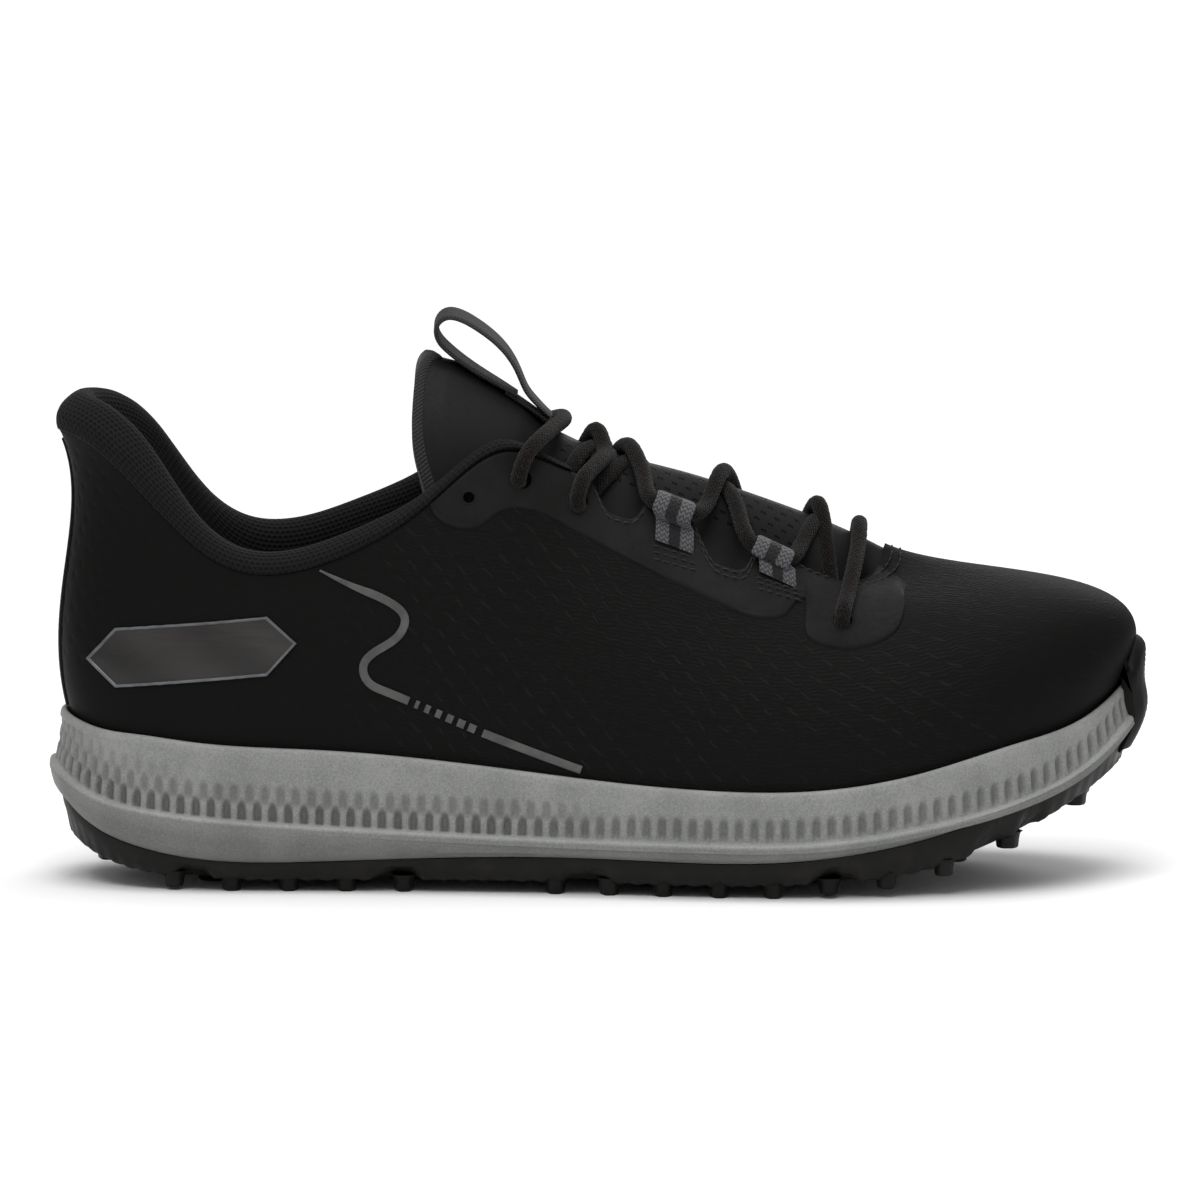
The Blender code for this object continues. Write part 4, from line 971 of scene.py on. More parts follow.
# The collar along the upper's top edge, as (x, value): its crest's height and inset, and its depth.
CREST_RISE = (
    (-150, 10.2), (-138, 10.5), (-124, 12.0), (-108, 8.2), (-88, 6.0), (-60, 5.6), (-46, 4.0), (-19, 2.4),
    (-8, 1.2),
)
CREST_INSET = ((-150, 7.6), (-124, 6.0), (-108, 4.6), (-60, 4.2), (-46, 3.6), (-19, 2.2), (-8, 1.2))
PAD_DEPTH = ((-150, 10.5), (-124, 10.0), (-88, 8.6), (-60, 7.6), (-46, 6.8), (-22, 4.8), (-8, 2.6))
COLLAR_LOW = 0.784  # the level that the pad hangs down to inside


def make_collar(look):
    """The padded mesh collar, rolled over the upper's top edge and down inside it."""
    outer_end, inner_end = float(top_t(COLLAR_END, False)), float(top_t(COLLAR_END, True)) - 1
    ts = np.linspace(inner_end, outer_end, 420)
    rise, crest, depth = along(CREST_RISE), along(CREST_INSET), along(PAD_DEPTH)
    sections = []
    for t in ts:
        top = upper(t, 1.0)
        x = top[0]
        out = surface_normal(t, 0.98)
        out = np.array([out[0], out[1], 0.0]) / np.hypot(out[0], out[1])
        up = np.array([0, 0, 1.0])
        h, c, d = float(rise(x)), float(crest(x)), float(depth(x))
        hang, back = 1 - COLLAR_LOW, -UPPER_THICKNESS
        sections.append([
            upper(t, 1.0, 0.1) + up * 0.2,
            top + out * 1.0 + up * h * 0.3,
            top + out * (0.5 - c * 0.2) + up * h * 0.72,
            top - out * c + up * h,
            top - out * (c + (d - c) * 0.6) + up * h * 0.82,
            top - out * d + up * h * 0.3,
            upper(t, 1 - hang * 0.35, -d - 0.4),
            upper(t, COLLAR_LOW + 0.03, -d + 0.6),
            upper(t, COLLAR_LOW, back - 2.4),
            upper(t, 1 - hang * 0.6, back - 1.0),
            upper(t, 1 - hang * 0.2, back - 0.9),
            upper(t, 1.0, back + 0.1) + up * 0.35,
        ])
    form = Form().grid(rounded(sections, 60), caps=True)
    made = form.piece("collar_padding", look, replaces=["collar_pad"], slot="collar_mesh", sharp=80)
    return made


INSOLE_RINGS = (  # from its underside over its edge to its top, as (inset, height above the rim)
    (13.5, -5.4), (12.2, -5.2), (11.9, -4.0), (11.8, 1.2), (12.0, 1.9), (12.6, 2.1), (13.4, 1.8),
    (15.5, 0.2), (18.0, -1.1), (21.0, -1.7), (24.0, -2.0),
)


def make_insole(look):
    """The foam footbed, cupped at its edge."""
    ts = np.arange(300) / 300
    rim = rim_z(plan(ts)[:, 0])
    rings = [ring_at(ts, distance, rim + up) for distance, up in INSOLE_RINGS]
    form = Form().grid(stacked(rings + shrunk(rings[-1])), ring=True, tube=False)
    made = form.piece("insole_footbed", look, replaces=["insole"], slot="insole_textile")
    return made


# The overlay's lower outline seen from the side, as (x, z, x of the throat's edge right above it).
OVERLAY_LINE = (
    (-45.7, 105.2, -45.5), (-44.6, 102.2, -44.4), (-41.3, 99.6, -42), (-36.4, 98.3, -38.4),
    (-32.6, 98.9, -35), (-29.6, 101, -32), (-25.3, 103.3, -28), (-20.9, 103.5, -24),
    (-15.7, 102, -19.5), (-7.8, 97.8, -12), (5.2, 91, -1), (18.3, 84.5, 10.5),
    (31.1, 78.6, 22), (39.8, 75, 31.5), (45, 74.2, 37.2), (50.4, 75.3, 42),
    (53.4, 78.3, 45.2), (56.2, 78.7, 48.6), (58.3, 77.0, 51.4), (57.0, 74.3, 53.2),
    (55.2, 72.4, 54.8), (55.3, 70.3, 56.4), (57.4, 68.2, 58.4), (61, 66.9, 60.6),
    (66.7, 66.1, 63.4), (73.5, 67.3, 67), (78.6, 69.7, 70), (81.4, 73.6, 72.5),
    (82.3, 80, 74.6), (83, 86, 76),
)


def overlay_grid(inner, columns, rows):
    """The (t, s) of a grid between the overlay's lower outline and the throat's edge on one side."""
    line = np.array(OVERLAY_LINE)
    ends = travel(line[:, :2])
    u = np.linspace(0, ends[-1], columns)
    low = spline(ends, [locate(x, z, inner) for x, z in line[:, :2]])(u)
    x = spline(ends, line[:, 2])(u)
    high = np.column_stack([top_t(x, inner), edge_s(x) - 0.004])
    share = np.linspace(0, 1, rows)[None, :, None]
    return low[:, None] * (1 - share) + high[:, None] * share


def make_overlay(look):
    """The smooth film fused round the throat, with its long curled outline."""
    sides = [overlay_grid(inner, 300, 34) for inner in (False, True)]
    grid = np.concatenate([sides[0], sides[1][::-1]])
    t, s = grid[..., 0], grid[..., 1]
    share = np.linspace(0, 1, grid.shape[1])[None, :]
    edge = np.sqrt(smooth_step(share, 0.0, 0.05)) * np.sqrt(smooth_step(share, 1.0, 0.96))
    from_edge = lengths(surface(t, s), False)[:, :-1, 1]
    rim = np.exp(-(((from_edge - 1.6) / 0.7) ** 2))
    ends = np.abs(np.linspace(-1, 1, len(grid)))[:, None]
    high = (0.04 + 0.5 * edge - 0.1 * rim) * smooth_step(ends, 0.0, 0.09)
    high = high - 0.15 * smooth_step(ends, 0.06, 0.0)
    form = Form().grid(layer(upper(t, s, high), upper(t, s, -0.3)), caps=True)
    return form.piece("throat_overlay", look, replaces=["eyestay"], slot="overlay_film", sharp=70)


# ---------------------------------------------------------------- tongue


def tongue_section(x, clearance, columns):
    """Points across the tongue at x, from deep under the outer eyestay over the ridge to the inner one."""
    found = []
    for inner in (False, True):
        t = float(top_t(x, inner))
        deep = upper(t, 0.88, -clearance)
        edge = upper(t, 0.985, -clearance)
        deep[0], edge[0] = x, x
        found.append((deep, edge))
    ridge = np.array([x, RIDGE_Y, float(ridge_z(x))])
    shoulders = [(ridge * 0.56 + edge * 0.44) + (0, 0, 0.26 * (ridge[2] - edge[2])) for _, edge in found]
    points = np.array([*found[0], shoulders[0], ridge, shoulders[1], *found[1][::-1]])
    ends = travel(points)
    return spline(ends / ends[-1], points)(np.linspace(0, 1, columns))


# How far the tongue's sides lie below the upper's surface, as (x, distance).
TONGUE_CLEARANCE = ((-47, 9.8), (-30, 8.4), (-19, 7.6), (0, 7.6), (60, 7.6), (88, 7.0))
HINGE = (-13.5, RIDGE_Y, 122.4)
BINDING_X = (-46.6, -43.6)  # where the knit binding starts and ends
TONGUE_COLUMNS = 61


# How far the tongue's rear edge curves back, as (share of the way from the ridge down one side, x).
REAR_CURVE = (
    (0, 0.9), (0.05, -0.9), (0.12, -2.7), (0.25, -3.9), (0.42, -4.2),
    (0.65, -2.1), (0.8, 0), (1, 0.4),
)


def tongue_grid(xs, skew, clearance):
    wings = np.linspace(-1, 1, TONGUE_COLUMNS) ** 2
    curve = along(REAR_CURVE)(np.abs(np.linspace(-1, 1, TONGUE_COLUMNS)))
    reach = np.linspace(xs.min() - 10, xs.max() + 1, 140)
    reach = reach[(reach > -56.5)]
    dense = np.array([tongue_section(x, float(clearance(x)), TONGUE_COLUMNS) for x in reach])
    grid = np.zeros((len(xs), TONGUE_COLUMNS, 3))
    for column in range(TONGUE_COLUMNS):
        wanted = xs + skew * wings[column] + curve[column] * smooth_step(xs, -24, BINDING_X[1])
        for axis in range(3):
            grid[:, column, axis] = np.interp(wanted, reach, dense[:, column, axis])
    return grid


def grid_normals(grid):
    ahead, across = np.gradient(grid, axis=0), np.gradient(grid, axis=1)
    normal = unit(np.cross(ahead, across))
    return normal * np.sign(normal[..., 2].mean())


def make_tongue(leather, knit):
    """The tongue's padded leather face in one piece over its fold, and the knit binding round its end."""
    clearance = along(TONGUE_CLEARANCE)
    xs = np.linspace(BINDING_X[1] + 0.2, 71, 190)
    skew = np.interp(xs, (BINDING_X[1], HINGE[0], HINGE[0] + 20), (-2.5, -6.5, 0))
    grid = tongue_grid(xs, skew, clearance)
    root_t = np.linspace(float(top_t(69, False)), float(top_t(69, True)), TONGUE_COLUMNS)
    root = upper(root_t, 0.93, -2.1)
    share = np.linspace(0, 1, 13)[1:, None, None]
    grid = np.concatenate([grid, grid[-1] * (1 - share) + root * share])
    xs = np.concatenate([xs, np.linspace(71, 84, 13)[1:]])
    thick = np.interp(xs, (-43, -30, -14, 0, 71, 84), (5.2, 6.0, 4.4, 4.6, 4.4, 0.6))[:, None, None]
    across = np.linspace(-1, 1, TONGUE_COLUMNS)[None, :]
    pad = smooth_step(xs, -43.6, -38)[:, None] * smooth_step(xs, -15, -22)[:, None]
    crease = 0.5 * np.exp(-(((xs - HINGE[0]) / 3.0) ** 2))[:, None]
    crown = (0.9 * pad * (1 - across**4) - crease)[..., None]
    normal = grid_normals(grid)
    sections = layer(grid + normal * crown, grid - normal * thick)
    form = Form().grid(sections, caps=True)
    parts = ["tongue_flap", "tongue_lower"]
    face = form.piece("tongue_face", leather, None, replaces=parts, slot="tongue_synthetic", sharp=80)
    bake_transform(face)
    xs = np.linspace(*BINDING_X, 14)
    grid = tongue_grid(xs, np.zeros(len(xs)), clearance)
    share = np.linspace(-1, 1, len(xs))
    bulge = (0.9 * np.sqrt(1 - share**2 * 0.98) - 0.2)[:, None, None]
    normal = grid_normals(grid)
    sections = layer(grid + normal * bulge, grid - normal * (5.4 + bulge))
    form = Form().grid(sections, caps=True)
    binding = form.piece(
        "tongue_knit_edge", knit, "tongue", replaces=["tongue_binding"], slot="tongue_knit", sharp=80
    )
    return face, binding


PULL_WIDTH, PULL_THICKNESS = 13.0, 1.3
PULL_PATH = (  # up the loop's front leg, over and down its rear leg, as (x, z)
    (-17.4, 130.0), (-19.8, 133.0), (-21.8, 137.4), (-25.0, 143.2), (-29.4, 147.8), (-33.8, 151.0),
    (-38.0, 153.2), (-41.6, 153.6), (-44.0, 151.6), (-44.2, 148.4), (-41.4, 144.6), (-37.0, 141.0),
    (-31.6, 137.4), (-26.6, 134.4), (-22.6, 131.9),
)
PULL_ROOT = ((-13.4, 126.0), (-15.2, 127.7))  # where its front leg dives under the strap


def make_pull(look):
    """The webbing loop at the tongue's top, and the strap that it continues as."""
    path = resample([(x, RIDGE_Y, z) for x, z in (*PULL_ROOT, *PULL_PATH)], 0.8)
    roll = 0.14 * np.sin(np.linspace(0, math.pi, len(path)))
    across = np.column_stack([np.zeros(len(path)), np.cos(roll), np.sin(roll)])
    form = Form().grid(ribbon(path, across, PULL_WIDTH, PULL_THICKNESS, 16), caps=True)
    loop = form.piece("pull_loop_tape", look, body="pull", replaces=["pull_loop"], slot="webbing")
    xs = np.linspace(-25.5, HINGE[0] + 1.5, 30)
    path = np.array([(x, RIDGE_Y, float(ridge_z(x)) + 1.0) for x in xs])
    form = Form().grid(ribbon(path, (0, 1, 0), PULL_WIDTH - 1, 1.2, 16), caps=True)
    strap = form.piece("pull_strap_tape", look, body="tongue", replaces=["pull_strap"], slot="webbing")
    return loop, strap


def make_keeper(look):
    """The short band across the tongue behind the first crossing of the lace."""
    xs = np.linspace(-3.2, 4.6, 12)
    grid = np.array([tongue_section(x, 7.6, 61)[17:44] for x in xs])
    normal = grid_normals(grid)
    edge = np.sqrt(np.clip(1 - np.abs(np.linspace(-1, 1, len(xs))) ** 6, 0, 1))[:, None, None]
    sections = layer(grid + normal * (0.25 + 0.95 * edge), grid - normal * 0.1)
    form = Form().grid(sections, caps=True)
    return form.piece("lace_keeper", look, slot="webbing")


# ---------------------------------------------------------------- lace

LACE_WIDTH = 4.4
OVER = 4.6  # how much higher the upper strand of a crossing is
LACE_HALF = (  # one strand from the bar at the front to the top, as (x, y, z, lift)
    (70.0, -8.0, 91.9, 0), (68.3, -17.5, 85.2, 0), (66.4, -25.5, 78.8, 0), (65.3, -29.8, 75.2, 0),
    (65.0, -28.8, 72.0, 0), (64.7, -25.0, 69.8, 0), (64.0, -19.0, 72.6, 0), (63.2, -13.3, 77.4, 0),
    (62.2, -8.6, 85.6, 0), (60.8, -3.8, 93.4, 0.6), (59.3, 0.5, 97.2, 1), (57.2, 6.5, 96.2, 0.5),
    (54.2, 13.0, 91.6, 0), (50.8, 19.1, 89.0, 0), (46.0, 20.9, 89.8, 0), (40.8, 19.2, 93.4, 0),
    (37.6, 12.0, 100.2, 0), (35.4, 5.5, 105.2, 0.6), (33.6, 0.5, 106.2, 1), (31.6, -5.5, 106.0, 0.6),
    (28.6, -12.5, 102.8, 0), (24.6, -19.0, 101.5, 0), (19.4, -21.2, 102.4, 0), (14.2, -19.2, 105.0, 0),
    (12.0, -12.0, 109.8, 0), (10.0, -5.5, 112.4, 0.6), (7.6, 0.5, 113.2, 1), (4.6, 6.5, 112.4, 0.6),
    (0.8, 12.0, 109.6, 0), (-2.8, 15.4, 105.4, 0), (-4.8, 17.4, 102.6, 0), (-5.6, 20.8, 103.0, 0),
    (-6.0, 25.0, 105.8, 0), (-4.8, 23.8, 110.4, 0), (-2.4, 19.0, 113.2, 0), (0.4, 12.6, 115.2, 0),
    (1.2, 6.5, 117.0, 0), (-0.9, 0.5, 117.4, -1), (-4.4, -6.0, 116.8, 0), (-7.6, -11.4, 113.2, 0),
    (-11.8, -14.8, 108.8, 0),
)
LACE_BAR = (70.5, 0.5, 96.5)
LACE_TOP = (
    (-17.4, -17.2, 107.8), (-21.2, -20.8, 109.2), (-21.8, -26.0, 112.2), (-20.0, -25.6, 117.4),
    (-16.6, -21.2, 121.4), (-13.2, -13.4, 123.6), (-10.6, -6.0, 124.9), (-9.8, 0.5, 125.2),
    (-10.6, 7.0, 124.9), (-13.2, 14.4, 123.6), (-16.6, 22.2, 121.4), (-20.0, 26.6, 117.4),
    (-21.8, 27.0, 112.2), (-21.2, 21.8, 109.2), (-17.8, 18.6, 107.0),
)


def lace_route():
    own = [(x, y, z + OVER * max(lift, 0)) for x, y, z, lift in LACE_HALF]
    other = [(x, 2 * RIDGE_Y - y, z + OVER * max(-lift, 0)) for x, y, z, lift in LACE_HALF]
    return other[::-1] + [LACE_BAR] + own + list(LACE_TOP)


def make_lace(look):
    """The round braided lace along its whole route."""
    path = resample(lace_route(), 0.7)
    sides = 26
    turns = np.arange(sides) / sides
    along_it = np.arange(len(path)) * 0.7
    one = np.cos(2 * math.pi * (along_it[:, None] / 2.6 + turns[None, :] * 4))
    two = np.cos(2 * math.pi * (along_it[:, None] / 2.6 - turns[None, :] * 4))
    radius = LACE_WIDTH / 2 - 0.06 + 0.09 * np.maximum(one, two)
    form = Form().grid(tube(path, radius, sides), caps=True)
    print("lace length, mm:", round(float(along_it[-1])))
    return form.piece("lace_cord", look, replaces=["lace"], slot="lace_cord", sharp=80)


LOOP_WIDTH, LOOP_THICKNESS = 11.0, 1.1
LOOP_RADIUS = LACE_WIDTH / 2 + 3 * GAP + LOOP_THICKNESS / 2
LOOP_BENDS = ((0.98, -0.2), (0.86, 0.5), (0.3, 0.95), (-0.45, 0.89), (-0.93, 0.36))
LOOPS = {"front": (45.7, (46.0, 20.9, 89.8)), "rear": (19.4, (19.4, -21.2, 102.4))}


def make_lace_loops(look):
    """The four striped webbing loops sewn to the throat's edge, each round the lace."""
    for place, (x, lace) in LOOPS.items():
        for inner in (False, True):
            side = 1 if inner else -1
            middle = np.array([lace[0], RIDGE_Y + side * abs(lace[1] - RIDGE_Y), lace[2]])
            t = float(top_t(x, inner))
            path = [upper(t, s, d) for s, d in ((0.838, 0.9), (0.855, 1.8), (0.88, 2.3), (0.91, 2.4))]
            across = unit(upper(top_t(x + 4, inner), 0.96) - upper(top_t(x - 4, inner), 0.96))
            out = unit(np.array([0, side, 0]) - across * across[1] * side)
            up = np.cross(across, out) * side
            up *= np.sign(up[2])
            path += [middle + LOOP_RADIUS * (out * a + up * b) for a, b in LOOP_BENDS]
            sections = ribbon(resample(path, 0.6), across, LOOP_WIDTH, LOOP_THICKNESS, 20)
            name = f"lace_loop_{place}_{'inner' if inner else 'outer'}"
            form = Form().grid(sections, caps=True)
            form.piece(name + "_tape", look, replaces=[name], slot="loop_webbing")


def sew(form, path, normals, pitch=2.5, length=1.9, radius=0.26):
    """Adds a row of stitches along a path: short threads that dive into the surface at both ends."""
    ends = travel(path)
    for start in np.arange(0.3, ends[-1] - length, pitch):
        places = np.linspace(start, start + length, 7)
        spine, out = at_lengths(path, ends, places), unit(at_lengths(normals, ends, places))
        arch = np.sin(np.linspace(0, math.pi, 7))
        spine += out * (arch * 0.42 - 0.22)[:, None]
        form.grid(tube(spine, radius, 7, first_side=(0.1, 0.2, 1)), caps=True)


def make_stitching(look):
    """Every visible seam of the throat: round the notches, under the lace loops and across the front."""
    form = Form()
    rows = []  # as (x, s)
    for (middle, half, _), offset in zip(NOTCHES + NOTCHES[1:], (0.022, 0.02, 0.042)):
        x = np.linspace(middle - half * 1.12, middle + half * 1.12, 60)
        rows.append((x, edge_s(x) - offset))
    x = np.linspace(50.5, 61.5, 24)
    rows.append((x, edge_s(x) - 0.03))
    for middle in (LOOPS["rear"][0], LOOPS["front"][0]):
        x = np.linspace(middle - 5.6, middle + 5.6, 12)
        rows += [(x, np.full(12, s)) for s in (0.78, 0.802, 0.822)]
    for inner in (False, True):
        for x, s in rows:
            t = top_t(x, inner)
            sew(form, upper(t, s, 0.6), surface_normal(t, s))
    for s in (1 - 0.024, 1 - 0.05):
        for inner, end in ((False, TOE_T - 0.009), (True, TOE_T + 0.009)):
            t = np.linspace(*sorted((float(top_t(64, inner)), end)), 60)
            sew(form, upper(t, s, 0.35), surface_normal(t, s))
    return form.piece("throat_stitching", look, slot="lace_cord")


# As (x, z, radius).
EYELETS = ((-35.3, 106.6, 1.5), (-21.0, 111.0, 2.5), (-5.9, 104.9, 2.5), (65.3, 73.4, 2.5))


def make_eyelets(look, hole_look):
    """The punched eyelets of both sides: a pressed rim, and a dark disc of painted shadow inside the hole.
    """
    rims, holes = Form(), Form()
    turns = np.arange(28) / 28 * 2 * math.pi
    for inner in (False, True):
        for x, z, radius in EYELETS:
            t, s = locate(x, z, inner)
            middle, out = upper(t, s, 0.0), surface_normal(t, s)
            side = unit(np.cross(out, (0, 0, 1)))
            up = np.cross(side, out)
            ring = np.cos(turns)[:, None] * side + np.sin(turns)[:, None] * up
            levels = ((1.34, 0.45), (1.26, 0.68), (1.12, 0.74), (1.02, 0.66), (1.0, 0.5))
            rims.grid([middle + ring * radius * r + out * h for r, h in levels], tube=True)
            # A dark disc a little below the rim's top: painted shadow inside the hole.
            levels = ((1.02, 0.66), (0.9, 0.62), (0.5, 0.6), (0.0, 0.59))
            holes.grid([middle + ring * radius * r + out * h for r, h in levels], tube=True)
    rims.piece("eyelet_rims", look, slot="overlay_film")
    holes.piece("eyelet_holes", hole_look, slot="lining_textile")


# ---------------------------------------------------------------- trims

BADGE_CENTRE, BADGE_LENGTH, BADGE_HEIGHT = (-110, 65.0), 57.0, 16.0
BADGE_SLANT = 0.1
BADGE_RINGS = (  # from its outline inwards, as (inset, height)
    (0.0, 0.1), (0.0, 0.55), (0.12, 0.72), (0.3, 0.78), (0.55, 0.76), (0.7, 0.62), (0.8, 0.42), (1.2, 0.42),
    (2.2, 0.5), (3.6, 0.6), (5.2, 0.66), (6.6, 0.68), (7.95, 0.68),
)


def badge_ring(distance):
    """The six-sided outline of the badge, moved in by a distance, as points (x, z) round its centre."""
    half, high = BADGE_LENGTH / 2, BADGE_HEIGHT / 2
    tip, shoulder, top = half - 1.414 * distance, half - high - 0.414 * distance, high - distance
    corners = [(tip, 0), (shoulder, top), (-shoulder, top)]
    corners = np.array(corners + [(-x, -z) for x, z in corners])
    ring = []
    for start, end, count in zip(corners, np.roll(corners, -1, axis=0), (8, 30, 8, 8, 30, 8)):
        ring.append(start + (end - start) * np.linspace(0, 1, count, endpoint=False)[:, None])
    return np.concatenate(ring)


def make_badges(face_look, rim_look):
    """A plain long six-sided badge on each side of the heel, dished inside a thin raised rim."""
    reach = np.array([BADGE_LENGTH, BADGE_HEIGHT]) / 2
    along_it, up_it = np.linspace(-1, 1, 15), np.linspace(-1, 1, 5)
    for inner in (False, True):
        x, z = BADGE_CENTRE[0] + along_it * reach[0], BADGE_CENTRE[1] + along_it * reach[0] * BADGE_SLANT
        spots = np.array([[locate(a, b + up * reach[1], inner) for up in up_it] for a, b in zip(x, z)])
        spots[..., 0] = np.where(spots[..., 0] > 0.75, spots[..., 0] - 1, spots[..., 0])
        sections = []
        for distance, high in BADGE_RINGS:
            ring = badge_ring(distance) / reach
            t, s = [
                [
                    np.interp(b, up_it, [np.interp(a, along_it, row) for row in spots[..., axis].T])
                    for a, b in ring
                ]
                for axis in (0, 1)
            ]
            sections.append(upper(t, s, high))
        name = "heel_badge_" + ("inner" if inner else "outer")
        form = Form().grid(sections, caps=True)
        made = form.piece(name + "_plate", face_look, replaces=[name], slot="badge", sharp=35)
        made.data.materials.append(rim_look)
        level = np.repeat(np.arange(len(BADGE_RINGS) - 1), sections[0].shape[0])
        rim = np.concatenate([level < 6, [False, False]]).astype(np.int32)
        made.data.polygons.foreach_set("material_index", rim)


HEEL_STRIP_HALF = 0.0068


def make_heel_strip(look):
    ts = np.linspace(-HEEL_STRIP_HALF, HEEL_STRIP_HALF, 30)[:, None]
    levels = np.linspace(0.105, 0.965, 120)[None, :]
    share = np.linspace(-1, 1, 30)[:, None]
    high = 0.1 + 0.8 * np.sqrt(np.clip(1 - share**6, 0, 1)) + 0 * levels
    sections = layer(upper(ts, levels, high), upper(ts, levels, 0 * high - 0.4))
    form = Form().grid(sections, caps=True)
    return form.piece("heel_strip_film", look, replaces=["heel_strip"], slot="heel_strip", sharp=70)


STRIPE_WIDTH = 2.2
STRIPES = {
    "rear": (
        (-75.3, 87.4), (-64.4, 82.4), (-56.0, 78.6), (-52.4, 74.6), (-53.8, 70.4), (-59.5, 66.2),
        (-63.6, 61.8), (-62.6, 57.8), (-58.0, 55.0), (-51.4, 52.3),
    ),
    "front": ((-31.5, 43.8), (-22.0, 40.2), (-12.0, 36.6), (-5.0, 34.2)),
}
DASHES = ((-49.2, 1.0), (-46.4, 1.3), (-43.4, 1.5), (-40.4, 1.7), (-37.3, 1.9), (-34.4, 1.9))  # (x, length)


def printed(form, route, inner, width, taper=False):
    """Adds a printed line that lies on the upper along a route seen from the side."""
    path = resample(np.column_stack([np.array(route), np.zeros(len(route))]), 1.2)
    places = np.array([locate(x, z, inner) for x, z, _ in path])
    t, s = places[:, 0], places[:, 1]
    spine = upper(t, s, 0.42)
    out = surface_normal(t, s)
    across = unit(np.cross(np.gradient(spine, axis=0), out))
    ends = np.linspace(0, 1, len(path))
    wide = width * (np.minimum(1, ends * 3 + 0.25) if taper else np.ones(len(path)))
    share = np.linspace(-1, 1, 7)
    top = spine[:, None] + across[:, None] * (share[None, :, None] * wide[:, None, None] / 2)
    lift = (0.14 * (1 - share**4))[None, :, None] * out[:, None]
    form.grid(layer(top + lift, top - out[:, None] * 0.5), caps=True)


def make_stripes(look):
    for inner, side in ((False, "outer"), (True, "inner")):
        for run, route in STRIPES.items():
            form = Form()
            printed(form, route, inner, STRIPE_WIDTH, taper=run == "rear")
            name = f"stripe_{run}_{side}"
            form.piece(name + "_print", look, replaces=[name], slot="stripe_print")
        form = Form()
        (x_from, z_from), (x_to, z_to) = STRIPES["rear"][-1], STRIPES["front"][0]
        fall = (z_to - z_from) / (x_to - x_from)
        for x, long in DASHES:
            ends = [(x + a * long, z_from + (x - x_from + a * long) * fall) for a in (-0.5, 0, 0.5)]
            printed(form, ends, inner, STRIPE_WIDTH)
        form.piece(f"stripe_dashes_{side}", look, slot="stripe_print")


# ---------------------------------------------------------------- the stage


FLOOR_RADIUS = 1.0  # metres, as are the sizes below
FLOOR_FADE = (0.55, 0.95)


def make_stage():
    """A plain white floor, which fades into the white behind it far away from the shoe."""
    look = Look("stage_white", (0.92, 0.92, 0.92), 0.9, 0.0)
    look.material.surface_render_method = "BLENDED"
    place = look.add("ShaderNodeTexCoord").outputs["Object"]
    far = look.add("ShaderNodeVectorMath", {0: place}, operation="LENGTH").outputs["Value"]
    look.feed(look.shader.inputs["Alpha"], look.ease(far, *FLOOR_FADE, 1.0, 0.0))
    turns = np.arange(64) * math.pi / 32
    circle = np.column_stack([np.cos(turns), np.sin(turns), 0 * turns])
    rings = [circle * radius for radius in np.linspace(0.02, FLOOR_RADIUS, 8)]
    corners, _ = quads(8, 64, False, True)
    mesh = bpy.data.meshes.new("stage")
    mesh.from_pydata(np.concatenate(rings).tolist(), [], corners.tolist() + [list(range(64))])
    mesh.materials.append(look.material)
    floor = bpy.data.objects.new("stage", mesh)
    bpy.context.collection.objects.link(floor)


def area_light(name, place, target, size, power):
    lamp = bpy.data.lights.new(name, "AREA")
    lamp.shape = "RECTANGLE"
    lamp.size, lamp.size_y = size
    lamp.energy = power
    made = bpy.data.objects.new(name, lamp)
    made.location = place
    made.rotation_euler = (Vector(target) - Vector(place)).to_track_quat("-Z", "Y").to_euler()
    bpy.context.collection.objects.link(made)


ELEVATION = math.radians(7)
CAMERA_FAR = 2.6
FRAME_WIDTH = 0.3265  # of the picture at the shoe
TARGET = (0.0, 0.0, 0.0755)


def make_camera():
    camera = bpy.data.cameras.new("camera")
    camera.sensor_width = 36
    camera.lens = 36 * CAMERA_FAR / FRAME_WIDTH
    camera.clip_end = 50
    made = bpy.data.objects.new("camera", camera)
    made.location = Vector(TARGET) + Vector((0, -math.cos(ELEVATION), math.sin(ELEVATION))) * CAMERA_FAR
    made.rotation_euler = (math.pi / 2 - ELEVATION, 0, 0)
    bpy.context.collection.objects.link(made)
    bpy.context.scene.camera = made


WORLD_LIGHT, WORLD_SEEN = 0.42, 1.05  # its strength for the shoe and for the camera


def make_world():
    """White where the camera sees it, and a dimmer white for what lights the shoe."""
    world = bpy.data.worlds.new("studio")
    world.use_nodes = True
    bpy.context.scene.world = world
    tree = world.node_tree
    path = tree.nodes.new("ShaderNodeLightPath")
    mix = tree.nodes.new("ShaderNodeMix")
    mix.data_type = "FLOAT"
    mix.inputs[2].default_value = WORLD_LIGHT
    mix.inputs[3].default_value = WORLD_SEEN
    tree.links.new(path.outputs["Is Camera Ray"], mix.inputs[0])
    tree.links.new(mix.outputs[0], tree.nodes["Background"].inputs["Strength"])
    tree.nodes["Background"].inputs["Color"].default_value = (1, 1, 1, 1)


# As (name, place, target, size, watts).
LIGHTS = (
    ("key", (-0.3, -1.1, 1.5), (0, 0, 0.05), (1.2, 0.8), 15),
    ("top", (0.1, 0.0, 1.7), (0, 0, 0), (1.6, 1.2), 18),
    ("rim", (0.5, 1.2, 0.9), (0, 0, 0.08), (1.0, 0.6), 6),
)


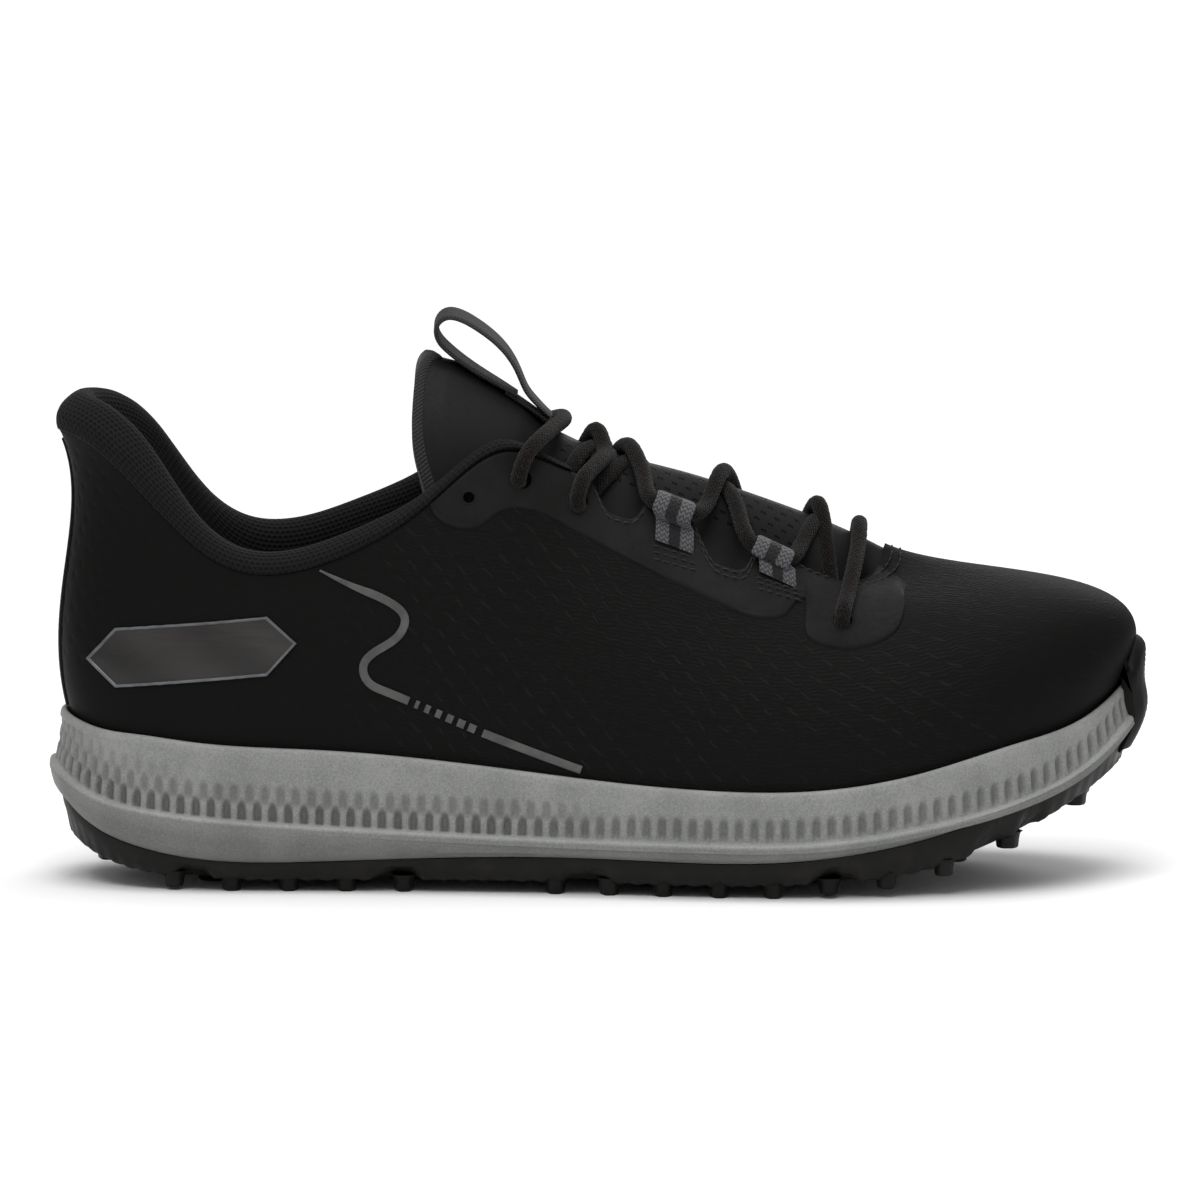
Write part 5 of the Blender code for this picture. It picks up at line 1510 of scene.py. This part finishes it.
def main():
    bpy.context.scene.view_settings.view_transform = "Standard"
    make_camera()
    make_world()
    make_stage()
    for light in LIGHTS:
        area_light(*light)

    rubber = rubber_look("tread_rubber", (0.0062, 0.0055, 0.005), 0.16)
    guard = rubber_look("guard_rubber", (0.0058, 0.0058, 0.0056), 0.08)
    leather = upper_look()
    film = film_look()
    mesh = mesh_look("collar_mesh", (0.002, 0.002, 0.002), (0.0085, 0.0085, 0.0082))
    lining = knit_look("lining_knit", (0.0015, 0.0015, 0.0015), (0.0045, 0.0045, 0.0045))
    tongue_knit = knit_look("tongue_knit", (0.013, 0.013, 0.013), (0.045, 0.044, 0.044))
    webbing = webbing_look("black_webbing", (0.004, 0.004, 0.0042), (0.02, 0.02, 0.021))
    thread = plain_look("thread", (0.008, 0.008, 0.008), (0.018, 0.018, 0.018), 0.8, 0.7)
    hole = plain_look("hole_shadow", (0.001, 0.001, 0.001), (0.002, 0.002, 0.002), 2.0, 0.9, shine=0.0)
    gunmetal = gradient_look("badge_gunmetal", (0.011, 0.0105, 0.01), (0.04, 0.036, 0.035))
    rim = plain_look("badge_rim", (0.075, 0.08, 0.086), (0.11, 0.115, 0.12), 3.0, 0.4, 0.4, 0.01, 0.1)
    grey = plain_look("stripe_grey", (0.055, 0.055, 0.054), (0.085, 0.085, 0.083), 6.0, 0.55, 0.3, 0.02)
    board = plain_look("board", (0.3, 0.29, 0.26), (0.38, 0.37, 0.33), 2.0, 0.9)
    stiff = plain_look("stiffener", (0.17, 0.16, 0.14), (0.23, 0.22, 0.19), 3.0, 0.8)

    make_midsole(foam_look())
    make_outsole(rubber)
    make_toe_guard(guard)
    make_upper(leather)
    make_lining(lining)
    make_collar(mesh)
    make_insole(knit_look("footbed_textile", (0.004, 0.004, 0.004), (0.014, 0.014, 0.014), 1.6))
    make_overlay(film)
    make_tongue(perforated_look(), tongue_knit)
    make_pull(webbing)
    make_keeper(webbing)
    make_lace(braid_look())
    make_lace_loops(striped_webbing_look(LOOP_WIDTH))
    make_stitching(thread)
    make_eyelets(film, hole)
    make_badges(gunmetal, rim)
    make_heel_strip(dotted_look())
    make_stripes(grey)
    for name, look in (("strobel_board", board), ("heel_counter", stiff), ("toe_puff", stiff)):
        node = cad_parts[name]
        node.data.materials.clear()
        node.data.materials.append(look)


main()
